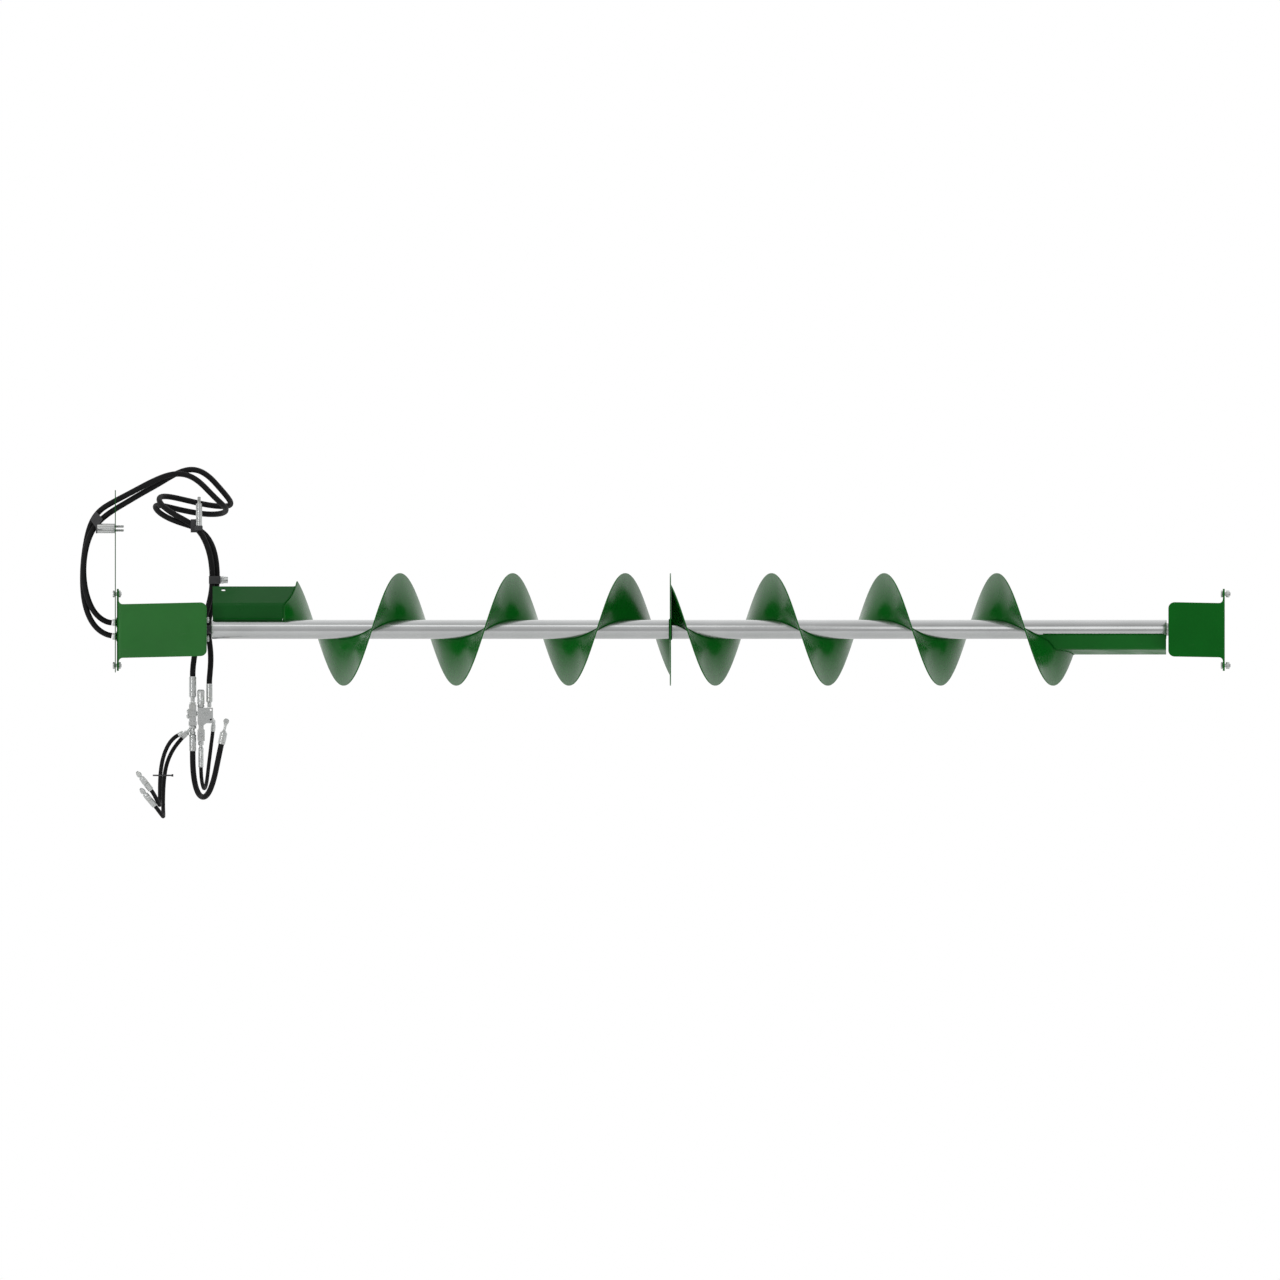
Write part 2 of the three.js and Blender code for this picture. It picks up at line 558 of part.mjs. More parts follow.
const portSeat = COVER_FROM - 12;
const portBoss = (z) => rod(16, [portSeat, 0, z], [COVER_FROM + 4, 0, z], 18);
const portBore = (z) => rod(9, [portSeat - 2, 0, z], [COVER_FROM + 6, 0, z], 14);
add('motor_end_cover', turned([
  [0, COVER_FROM], [MOTOR.body - 4, COVER_FROM], [MOTOR.body, COVER_FROM + 4],
  [MOTOR.body, GEAR.from - GAP], [0, GEAR.from - GAP],
], [0, 0, 0], X, 28)
  .add(portBoss(MOTOR.port))
  .add(portBoss(-MOTOR.port))
  .subtract(portBore(MOTOR.port))
  .subtract(portBore(-MOTOR.port)), castIron);

motorBoltPlaces.forEach(([y, z], i) => {
  const bolt = hexagon(9.8, [MOTOR_FACE + GAP, y, z], [MOTOR_FACE + 7.5, y, z])
    .add(rod(5.5, [MOTOR_FACE - 21, y, z], [MOTOR_FACE + 4, y, z], 12));
  add(`motor_bolt_${i + 1}`, bolt, zinc);
});

// Straight fittings run from the motor's ports through the bracket to the hoses.
for (const [name, z] of [['motor_fitting_a', MOTOR.port], ['motor_fitting_b', -MOTOR.port]]) {
  const out = X.clone().negate();
  const shape = turned([
    [0, -10], [8.5, -10], [8.5, GAP], [10, GAP], [10, 6], [7.5, 8], [7.5, 100], [9, 102], [11, 105],
    [11, 150], [10, 152], [0, 152],
  ], [portSeat, 0, z], out).add(hexagon(15.5, [portSeat - GAP, 0, z], [portSeat - 18, 0, z]));
  add(name, shape, zinc);
}

// ---- Bearing ----

const housingFrom = bearingFace + PLATE + GAP;
const housingEar = (z) => rod(15.5, [housingFrom, 0, z], [housingFrom + 14, 0, z], 18);
const housingWaist = plateX(roundedOutline([
  [-15, -BEARING.bolt, 0], [15, -BEARING.bolt, 0], [34, 0, 30], [15, BEARING.bolt, 0],
  [-15, BEARING.bolt, 0], [-34, 0, 30],
]), housingFrom, housingFrom + 14);
add('bearing_housing', housingWaist
  .add(housingEar(BEARING.bolt))
  .add(housingEar(-BEARING.bolt))
  .add(turned([
    [0, housingFrom + 2], [32, housingFrom + 2], [32, housingFrom + 22], [28, housingFrom + 28],
    [0, housingFrom + 28],
  ], [0, 0, 0], X, 24))
  .subtract(rod(RING.outer + 0.5, [housingFrom - 3, 0, 0], [housingFrom + 32, 0, 0], 28))
  .subtract(bearingBoltHoles), castIron);
bearingBoltPlaces.forEach((z, i) => {
  const seat = housingFrom + 14 + GAP;
  const bolt = hexagon(9.8, [seat, 0, z], [seat + 7, 0, z])
    .add(rod(5, [bearingFace + 0.5, 0, z], [seat + 3, 0, z], 12));
  add(`bearing_bolt_${i + 1}`, bolt, zinc);
});

// ---- Hose support plate and clamps ----

const supportOutline = roundedOutline([
  [-90, -136, 12], [90, -136, 12], [90, 136, 30], [46, 190, 30], [46, 440, 10], [-46, 440, 10],
  [-46, 190, 30], [-90, 136, 30],
]);
const hoseWindow = plateX(roundedOutline([
  [-24, 354, 8], [32, 354, 8], [32, 430, 8], [-24, 430, 8],
]), supportFace - 2, supportFront + 2);
const fittingHoles = rod(15, [-9, 0, MOTOR.port], [1, 0, MOTOR.port], 20)
  .add(rod(15, [-9, 0, -MOTOR.port], [1, 0, -MOTOR.port], 20));
const STANDOFFS = [[-24, 325], [24, 312.5]];
const standoffHoles = STANDOFFS
  .map(([y, z]) => rod(4.4, [-9, y, z], [1, y, z], 12))
  .reduce((all, hole) => all.add(hole));
add('hose_support_plate', plateX(supportOutline, supportFace, supportFront)
  .subtract(hoseWindow)
  .subtract(fittingHoles)
  .subtract(wallHoles(-9, 1))
  .subtract(standoffHoles), darkGreen);

const standoffEnd = -62;
STANDOFFS.forEach(([y, z], i) => {
  const shape = rod(9, [standoffEnd, y, z], [supportFace - GAP, y, z], 18)
    .add(rod(4, [supportFace - 4, y, z], [22, y, z], 12));
  add(`support_standoff_${i + 1}`, shape, zinc);
});

// Moulded clamps close on both hoses.
const supportClamp = plateY(roundedOutline([
  [-84, 346, 4], [-66.5, 322, 1], [-66.5, 303, 1], [-62.3, 303, 1], [-62.3, 322, 1],
  [-44, 348, 4], [-66, 374, 4],
]), -31, 31);
const standoffRoom = STANDOFFS
  .map(([y, z]) => rod(9.4, [standoffEnd - GAP, y, z], [-30, y, z], 18))
  .reduce((all, room) => all.add(room));
add('support_clamp', supportClamp.subtract(hoseRoom).subtract(standoffRoom), plastic);

add('top_clamp', box([233, 160, 306], [256, 210, 348])
  .add(box([246, 138, 313], [271, 161, 327.5]))
  .subtract(hoseRoom), plastic);
const STUD = { x: 259.6, y: 149.5 };
add('top_standoff', turned([
  [0, 327.8], [9.8, 327.8], [9.8, 396], [8, 397.3], [5.3, 397.3], [5.3, 417], [4, 419], [0, 419],
], [STUD.x, STUD.y, 0], Z), zinc);

add('back_clamp', box([290.5, 177, 144], [328, 220, 168.5]).subtract(hoseRoom), plastic);
add('back_standoff', hexagon(11.8, [328.3, 198, 156], [338, 198, 156])
  .add(rod(10.5, [328.3, 198, 156], [351, 198, 156])), zinc);

// ---- Valve group ----

const down = Z.clone().negate();
const LINE_A = [239.5, GROUP_Y];
const LINE_B = [292, GROUP_Y];
const PILOT_LINE = [265.6, GROUP_Y];

add('hose_a_fitting', turned([
  [0, 0], [10.6, 0], [11.7, 2], [11.7, 63], [10, 66.5], [6.5, 69], [6.5, 79.7], [0, 79.7],
], [...LINE_A, -149.3], down), zinc);
add('hose_b_fitting', turned([
  [0, 0], [9.4, 0], [10.3, 2], [10.3, 56], [9, 62], [6.2, 65], [6.2, 74.2], [0, 74.2],
], [...LINE_B, -172.3], down), zinc);

// In-line valve: a stepped body below hose A, with a nipple towards the block.
const inlineBody = turned([
  [0, 229.3], [9, 229.3], [11, 232], [11, 281], [9, 283], [9, 285], [12.6, 286], [12.6, 303], [6.5, 305],
  [6.5, 320.4], [0, 320.4],
], [...LINE_A, 0], down, 18);
add('inline_valve', inlineBody
  .add(hexagon(15, [...LINE_A, -236], [...LINE_A, -252]))
  .add(rod(8, [220, GROUP_Y, -268], [238, GROUP_Y, -268], 14))
  .add(hexagon(10.5, [222, GROUP_Y, -268], [229, GROUP_Y, -268]))
  .add(rod(6, [238, GROUP_Y, -268], [254.3, GROUP_Y, -268], 12)), zinc);

const BLOCK = { front: 145, back: 187, top: -247.2, ledge: -291.5, bottom: -352.4 };
const blockOutline = polygon([
  [254.6, BLOCK.top], [303.5, BLOCK.top], [303.5, BLOCK.ledge], [276.6, BLOCK.ledge],
  [276.6, BLOCK.bottom], [254.6, BLOCK.bottom],
]);
const CARTRIDGE = { x: 265.4, y: 157 };
add('valve_block', plateY(blockOutline, BLOCK.front, BLOCK.back)
  .subtract(rod(8.5, [CARTRIDGE.x, CARTRIDGE.y, -290], [CARTRIDGE.x, CARTRIDGE.y, -240], 16)), zinc);
add('relief_cartridge', turned([
  [0, 189.8], [8.5, 189.8], [11.7, 194], [11.7, 236], [9.5, 238], [9.5, 246.8], [8.1, 246.8],
  [8.1, 285], [0, 285],
], [CARTRIDGE.x, CARTRIDGE.y, 0], down, 20), zinc);

add('pilot_fitting', turned([
  [0, 358.2], [5, 358.2], [5, 372], [7, 373.5], [8.2, 375], [8.2, 433], [7.4, 435.7], [0, 435.7],
], [...PILOT_LINE, 0], down)
  .add(hexagon(9.2, [...PILOT_LINE, -352.7], [...PILOT_LINE, -366])), zinc);
const pilotAway = leaving(PILOT_HOSE).normalize();
const elbowFoot = new THREE.Vector3(...PILOT_HOSE.at(-1)).addScaledVector(pilotAway, GAP);
const elbowTop = elbowFoot.clone().addScaledVector(pilotAway, 34);
add('pilot_elbow', rod(7.6, elbowFoot.toArray(), elbowTop.toArray())
  .add(solid(new THREE.SphereGeometry(9, 14, 10).translate(...elbowTop)))
  .add(rod(6, elbowTop.toArray(), [297, BLOCK.back - 6, BLOCK.ledge + 8], 12))
  .subtract(box([250, 140, -300], [310, BLOCK.back + GAP, -240])), zinc);

add('supply_fitting', turned([
  [0, 320.7], [6.5, 320.7], [6.5, 329], [9, 331], [11, 333], [11, 381], [10, 383.7], [0, 383.7],
], [...LINE_A, 0], down), zinc);

// The supply hose's free end: a ferrule, a bent stem and the eye of a banjo.
const supplyOut = leaving(SUPPLY_HOSE).normalize();
const supplyEnd = new THREE.Vector3(...SUPPLY_HOSE.at(-1)).addScaledVector(supplyOut, GAP);
const eye = supplyEnd.clone().addScaledVector(supplyOut, 73);
const eyeSide = (reach) => [eye.x, eye.y + reach, eye.z];
add('supply_end_fitting', turned([
  [0, 0], [10.4, 0], [11.8, 2], [11.8, 36], [9, 40], [4.2, 42], [4.2, 66], [0, 66],
], supplyEnd.toArray(), supplyOut)
  .add(rod(9, eyeSide(-6), eyeSide(6), 18))
  .subtract(rod(4.6, eyeSide(-8), eyeSide(8), 14)), zinc);

// ---- Coupler hoses ----

const TEE = { x: 214, z: -333 };
const barb = (points, length) => {
  const start = new THREE.Vector3(...points[0]);
  const back = start.clone().sub(new THREE.Vector3(...points[1])).normalize();
  const near = start.addScaledVector(back, GAP);
  return rod(7.6, near.toArray(), near.clone().addScaledVector(back, length).toArray());
};
const teeBranch = [[TEE.x, GROUP_Y, TEE.z + 4], [232.6, GROUP_Y, -314]];
add('coupler_tee', rod(9, [TEE.x, 136, TEE.z], [TEE.x, 194, TEE.z], 16)
  .add(barb(COUPLER_HOSE_1, 18))
  .add(barb(COUPLER_HOSE_2, 12))
  .add(rod(5, ...teeBranch, 12))
  .subtract(rod(6.5 + GAP, [...LINE_A, -326], [...LINE_A, -300])), zinc);

for (const [name, points] of [['quick_coupler_1', COUPLER_HOSE_1], ['quick_coupler_2', COUPLER_HOSE_2]]) {
  const out = leaving(points).normalize();
  const start = new THREE.Vector3(...points.at(-1)).addScaledVector(out, GAP);
  const shape = turned([
    [0, 0], [8.6, 0], [9.4, 2], [9.4, 22], [7, 24], [7, 28], [10.4, 30], [10.4, 46], [8.4, 48], [8.4, 58],
    [5, 60], [5, 66], [6.6, 68], [6.6, 74], [4.6, 77], [0, 77],
  ], start.toArray(), out, 14);
  add(name, shape, zinc);
}

const TIE = { x: 143.5, y: 163.5, z: -461, inner: 28.9, outer: 30.3, height: 4.8 };
add('cable_tie', turned([
  [TIE.inner, 0], [TIE.outer, 0], [TIE.outer, TIE.height], [TIE.inner, TIE.height], [TIE.inner, 0],
], [TIE.x, TIE.y, TIE.z - TIE.height / 2], Z, 28)
  .add(box([TIE.x + 28.9, TIE.y - 4, TIE.z - 4], [TIE.x + 35, TIE.y + 4, TIE.z + 4])), plastic);

export default group;
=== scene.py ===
"""Looks of a hydraulically driven cross auger. Positions are metres in the row frame, with +X along the
auger. Hose routes, and the sections of turned pieces, are in millimetres."""

import json
import math

import bmesh
import bpy
from mathutils import Matrix, Vector


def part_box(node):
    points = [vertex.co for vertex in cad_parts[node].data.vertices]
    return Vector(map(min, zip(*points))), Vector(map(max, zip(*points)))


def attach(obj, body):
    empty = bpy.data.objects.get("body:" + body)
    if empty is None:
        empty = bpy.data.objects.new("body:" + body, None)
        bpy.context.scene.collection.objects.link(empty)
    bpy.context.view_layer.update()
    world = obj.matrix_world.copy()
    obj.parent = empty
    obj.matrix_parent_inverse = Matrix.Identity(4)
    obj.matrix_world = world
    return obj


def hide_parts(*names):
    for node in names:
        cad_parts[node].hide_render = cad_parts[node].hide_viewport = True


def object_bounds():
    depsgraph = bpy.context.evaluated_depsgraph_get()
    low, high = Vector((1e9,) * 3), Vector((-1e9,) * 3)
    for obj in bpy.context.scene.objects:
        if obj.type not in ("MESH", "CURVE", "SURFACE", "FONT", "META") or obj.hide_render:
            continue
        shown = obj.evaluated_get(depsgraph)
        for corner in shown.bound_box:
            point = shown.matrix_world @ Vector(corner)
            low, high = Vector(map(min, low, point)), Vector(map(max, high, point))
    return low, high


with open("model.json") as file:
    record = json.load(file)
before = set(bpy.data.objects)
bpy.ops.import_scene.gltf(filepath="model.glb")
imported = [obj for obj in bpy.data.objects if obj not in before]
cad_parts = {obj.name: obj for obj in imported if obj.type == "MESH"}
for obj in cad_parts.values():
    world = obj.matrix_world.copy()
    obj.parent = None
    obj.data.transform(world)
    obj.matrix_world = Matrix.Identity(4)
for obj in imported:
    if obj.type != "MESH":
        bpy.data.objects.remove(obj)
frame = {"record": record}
cad_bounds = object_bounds()
record = frame["record"]
BODY_OF = {node: body for body, nodes in record["behaviour"]["bodies"].items() for node in nodes}
SLOT_OF = {entry["node"]: entry["material_slot"] for entry in record["subparts"]}

MM = 0.001
X, Y, Z = Vector((1, 0, 0)), Vector((0, 1, 0)), Vector((0, 0, 1))


def placed(name, data):
    """A new object in the scene."""
    added = bpy.data.objects.new(name, data)
    bpy.context.scene.collection.objects.link(added)
    return added


# ---- Camera ----

camera = placed("camera", bpy.data.cameras.new("camera"))
camera.data.type = "ORTHO"
camera.data.ortho_scale = 4.042
camera.data.clip_end = 40
camera.location = (1.652, -6, -0.0335)
camera.rotation_euler = (math.radians(90), 0, 0)
bpy.context.scene.camera = camera

# ---- Hose routes ----


def route(*points):
    """Control points in metres, from millimetres."""
    return [tuple(c / 1000 for c in point) for point in points]


MOTOR_HOSE_A = route(
    (-16, 0, 21), (-32, 0, 23), (-55, -2, 36), (-78, -6, 62), (-95, -10, 104), (-104, -11, 150),
    (-106, -11, 196), (-101, -11, 244), (-89, -10, 290), (-68, -5, 330), (-38, -1, 358), (-4, 4, 381),
    (34, 14, 403), (72, 27, 426), (108, 42, 446), (140, 58, 464), (170, 75, 483), (202, 92, 499),
    (235, 107, 507), (267, 122, 500), (296, 138, 479), (320, 155, 452), (341, 177, 428), (356, 205, 409),
    (361, 237, 397), (355, 269, 390), (335, 296, 388), (305, 314, 390), (270, 321, 396), (235, 323, 404),
    (201, 321, 412), (169, 312, 419), (145, 293, 421), (133, 266, 416), (134, 237, 403), (147, 211, 387),
    (170, 192, 370), (198, 180, 354), (226, 175, 339), (250, 173, 322), (270, 174, 298), (285, 178, 266),
    (295, 182, 232), (300, 186, 197), (302, 190, 160), (300, 192, 124), (293, 191, 88), (282, 188, 50),
    (269, 184, 12), (257, 179, -28), (248, 173, -66), (242, 168, -102), (239.5, 165, -132),
    (239.5, 165, -149),
)
MOTOR_HOSE_B = route(
    (-16, 0, -20), (-32, 0, -17), (-58, 2, -3), (-83, 6, 27), (-100, 10, 72), (-107, 11, 120),
    (-108, 11, 168), (-106, 11, 214), (-100, 12, 260), (-92, 12, 304), (-78, 7, 346), (-53, 1, 378),
    (-20, 1, 398), (18, 4, 418), (56, 11, 438), (93, 21, 458), (128, 32, 475), (162, 45, 488),
    (197, 62, 493), (230, 82, 486), (259, 103, 468), (284, 123, 443), (307, 143, 419), (327, 166, 400),
    (341, 195, 387), (346, 228, 377), (340, 261, 369), (322, 290, 364), (294, 311, 363), (261, 323, 366),
    (227, 329, 372), (194, 330, 379), (162, 323, 387), (137, 305, 392), (123, 279, 392), (121, 249, 385),
    (131, 222, 371), (153, 204, 356), (182, 195, 343), (212, 192, 333), (241, 193, 324), (267, 195, 311),
    (288, 197, 290), (303, 199, 262), (312, 201, 228), (316, 204, 194), (317, 207, 158), (314, 210, 122),
    (305, 212, 86), (294, 211, 50), (288, 207, 14), (290, 200, -24), (296, 190, -64), (297, 180, -102),
    (294, 170, -138), (292, 165, -160), (292, 165, -172),
)
SUPPLY_HOSE = route(
    (239.5, 165, -384), (239.5, 165, -400), (240, 164, -434), (243, 158, -468), (249, 141, -500),
    (259, 114, -523), (272, 84, -532), (286, 54, -524), (298, 30, -500), (308, 17, -468), (315, 13, -434),
    (322, 12, -400), (327, 12, -376), (330, 12, -362),
)
PILOT_HOSE = route(
    (265.6, 165, -436), (266, 166, -456), (268, 176, -480), (272, 196, -498), (276, 218, -504),
    (280, 241, -499), (284, 259, -481), (287, 267, -456), (290, 265, -428), (294, 254, -396),
    (298, 240, -362), (302, 226, -332), (303, 222, -321),
)
COUPLER_HOSE_1 = route(
    (194, 147, -334), (184, 147, -339), (165, 146, -358), (150, 145, -390), (141, 144, -425),
    (137, 143, -461), (136, 142, -494), (136, 135, -524), (136, 116, -547), (136, 88, -557),
    (132, 62, -550), (123, 45, -532), (114, 36, -515), (107, 31, -506),
)
COUPLER_HOSE_2 = route(
    (207, 183, -342), (200, 183, -350), (183, 184, -370), (166, 185, -400), (155, 185, -432),
    (150, 184, -464), (147, 183, -500), (146, 179, -535), (146, 166, -565), (147, 142, -585),
    (147, 113, -593), (142, 86, -586), (132, 68, -573), (124, 59, -562), (119, 55, -556),
)

HOSES = {
    "motor_hose_a": (MOTOR_HOSE_A, 0.018),
    "motor_hose_b": (MOTOR_HOSE_B, 0.018),
    "supply_hose": (SUPPLY_HOSE, 0.018),
    "pilot_hose": (PILOT_HOSE, 0.012),
    "coupler_hose_1": (COUPLER_HOSE_1, 0.013),
    "coupler_hose_2": (COUPLER_HOSE_2, 0.013),
}


def spline(points, per_span=10):
    """Points on the cubic B-spline that starts and ends on the outer control points."""
    knots = [Vector(p) for p in points]
    knots = [2 * knots[0] - knots[1], *knots, 2 * knots[-1] - knots[-2]]
    found = []
    for i in range(len(knots) - 3):
        last = i == len(knots) - 4
        for k in range(per_span + last):
            t = k / per_span
            weights = ((1 - t) ** 3, 3 * t**3 - 6 * t**2 + 4, -3 * t**3 + 3 * t**2 + 3 * t + 1, t**3)
            found.append(sum((w * p for w, p in zip(weights, knots[i : i + 4])), Vector()) / 6)
    return found


# ---- Materials ----


def feed(socket, value):
    """Links an output to a socket, or sets the socket's own value."""
    if isinstance(value, bpy.types.NodeSocket):
        socket.id_data.links.new(value, socket)
    else:
        socket.default_value = value


def add_node(tree, kind, **inputs):
    node = tree.nodes.new("ShaderNode" + kind)
    for key, value in inputs.items():
        feed(node.inputs[key.replace("_", " ")], value)
    return node


class Nodes:
    """A material's node tree, with short ways to add to it."""

    def __init__(self, name):
        self.material = bpy.data.materials.new(name)
        self.material.use_nodes = True
        self.tree = self.material.node_tree
        self.shader = self.tree.nodes["Principled BSDF"]
        self.place = self.tree.nodes.new("ShaderNodeTexCoord").outputs["Object"]

    def add(self, kind, **inputs):
        return add_node(self.tree, kind, **inputs)

    def stretched(self, scale):
        return self.add("Mapping", Vector=self.place, Scale=scale).outputs["Vector"]

    def noise(self, scale, detail=4, vector=None, roughness=0.55):
        vector = vector or self.place
        node = self.add("TexNoise", Vector=vector, Scale=scale, Detail=detail, Roughness=roughness)
        return node.outputs["Fac"]

    def cells(self, scale, output):
        return self.add("TexVoronoi", Vector=self.place, Scale=scale).outputs[output]

    def ranged(self, value, low, high, start=0.3, end=0.7):
        node = self.add("MapRange", Value=value, From_Min=start, From_Max=end, To_Min=low, To_Max=high)
        return node.outputs["Result"]

    def mixed(self, share, first, second):
        node = self.add("Mix")
        node.data_type = "RGBA"
        for socket, value in zip((node.inputs[0], node.inputs[6], node.inputs[7]), (share, first, second)):
            feed(socket, value)
        return node.outputs[2]

    def clouded(self, scale, first, second):
        return self.mixed(self.ranged(self.noise(scale), 0, 1), first, second)

    def bump(self, height, strength):
        return self.add("Bump", Height=height, Strength=strength, Distance=0.001).outputs["Normal"]

    def finish(self, base, roughness, metallic=0.0, **sockets):
        for key, value in dict(Base_Color=base, Roughness=roughness, Metallic=metallic, **sockets).items():
            feed(self.shader.inputs[key.replace("_", " ")], value)
        return self.material


def tint(rgb, factor):
    return (*(min(1, channel * factor) for channel in rgb), 1)


def paint(name, rgb, roughness, gloss=0.38):
    """Gloss paint: cloudy tone, orange peel, fine scuffs and a little dust that dulls it."""
    m = Nodes(name)
    tone = m.clouded(5, tint(rgb, 0.9), tint(rgb, 1.1))
    worn = m.ranged(m.noise(90, 3, m.stretched((0.15, 1, 1)), 0.7), 0, 0.35, 0.64, 0.78)
    pale = tuple(channel * 0.8 + 0.045 for channel in rgb)
    dull = m.ranged(m.noise(14, 6), roughness * 0.85, roughness * 1.35)
    peel = m.bump(m.noise(420, 2), 0.05)
    return m.finish(m.mixed(worn, tone, (*pale, 1)), dull, Normal=peel, Specular_IOR_Level=gloss)


def bare_tube(name):
    """Drawn tube: drawing lines along its length, faint mill marks and a slightly uneven polish."""
    m = Nodes(name)
    lines = m.noise(700, 3, m.stretched((0.004, 1, 1)), 0.6)
    cloud = m.noise(6, 5)
    base = m.mixed(m.ranged(cloud, 0, 1), (0.52, 0.53, 0.53, 1), (0.59, 0.60, 0.60, 1))
    marked = m.mixed(m.ranged(lines, 0, 0.25, 0.55, 0.75), base, (0.34, 0.35, 0.35, 1))
    return m.finish(marked, m.ranged(cloud, 0.13, 0.2), 1.0, Normal=m.bump(lines, 0.08))


def plated(name, rgb, roughness):
    """Zinc plate: spangled tone with a faint yellow cast in places, and small knocks."""
    m = Nodes(name)
    grey = m.add("RGBToBW", Color=m.cells(260, "Color")).outputs["Val"]
    tone = m.mixed(m.ranged(grey, 0, 1, 0.2, 0.8), tint(rgb, 0.96), tint(rgb, 1.04))
    warm = (rgb[0] * 1.02, rgb[1] * 0.98, rgb[2] * 0.86, 1)
    base = m.mixed(m.ranged(m.noise(40), 0, 0.35, 0.5, 0.75), tone, warm)
    dull = m.ranged(m.noise(60, 5), roughness * 0.8, roughness * 1.3)
    return m.finish(base, dull, 0.8, Normal=m.bump(m.noise(900, 2), 0.015))


def casting(name, rgb):
    """Sand-cast iron under thin paint."""
    m = Nodes(name)
    grain = m.noise(260, 8, roughness=0.7)
    base = m.clouded(30, tint(rgb, 0.85), tint(rgb, 1.2))
    return m.finish(base, m.ranged(grain, 0.45, 0.68), 0.25, Normal=m.bump(grain, 0.35))


def oiled(name):
    """Blackened steel, with the marks of its turning."""
    m = Nodes(name)
    rings = m.noise(500, 2, m.stretched((1, 0.05, 0.05)))
    base = m.clouded(25, (0.035, 0.037, 0.04, 1), (0.075, 0.077, 0.08, 1))
    return m.finish(base, m.ranged(rings, 0.3, 0.5), 0.7, Normal=m.bump(rings, 0.1))


def rubber(name):
    """Hose cover: a matt skin with the print of its wrapping and a little dust."""
    m = Nodes(name)
    dust = m.ranged(m.noise(12, 6), 0, 0.5, 0.5, 0.8)
    base = m.mixed(dust, (0.005, 0.005, 0.0055, 1), (0.013, 0.013, 0.0125, 1))
    weave = m.bump(m.cells(520, "Distance"), 0.18)
    return m.finish(base, m.ranged(m.noise(80), 0.5, 0.7), Normal=weave, Specular_IOR_Level=0.16)


def plastic(name):
    """Black moulded plastic."""
    m = Nodes(name)
    grain = m.noise(800, 3)
    base = m.clouded(35, (0.022, 0.022, 0.024, 1), (0.04, 0.04, 0.043, 1))
    return m.finish(base, m.ranged(grain, 0.42, 0.6), Normal=m.bump(grain, 0.12))


MATERIALS = {
    name: make(name, *values)
    for name, make, *values in (
        ("green_paint", paint, (0.002, 0.11, 0.008), 0.24, 0.24),
        ("green_bracket_paint", paint, (0.008, 0.125, 0.012), 0.4),
        ("dark_green_paint", paint, (0.006, 0.078, 0.012), 0.3, 0.1),
        ("bare_steel", bare_tube),
        ("zinc_plate", plated, (0.58, 0.595, 0.59), 0.2),
        ("cast_iron", casting, (0.05, 0.055, 0.06)),
        ("black_steel", oiled),
        ("hose_rubber", rubber),
        ("black_plastic", plastic),
        ("right_paddle", paint, (0.006, 0.125, 0.014), 0.34, 0.1),
        ("bearing_bracket", paint, (0.002, 0.122, 0.009), 0.36, 0.08),
        ("weld", paint, (0.002, 0.085, 0.008), 0.5, 0.05),
    )
}

# ---- Mesh tools ----


def across(along):
    """Two directions at right angles to a third."""
    along = along.normalized()
    first = along.cross(Z if abs(along.z) < 0.9 else X).normalized()
    return first, along.cross(first)


def polar(x, radius, angle):
    """A point at a radius from the X axis."""
    return Vector((x, radius * math.cos(angle), radius * math.sin(angle)))


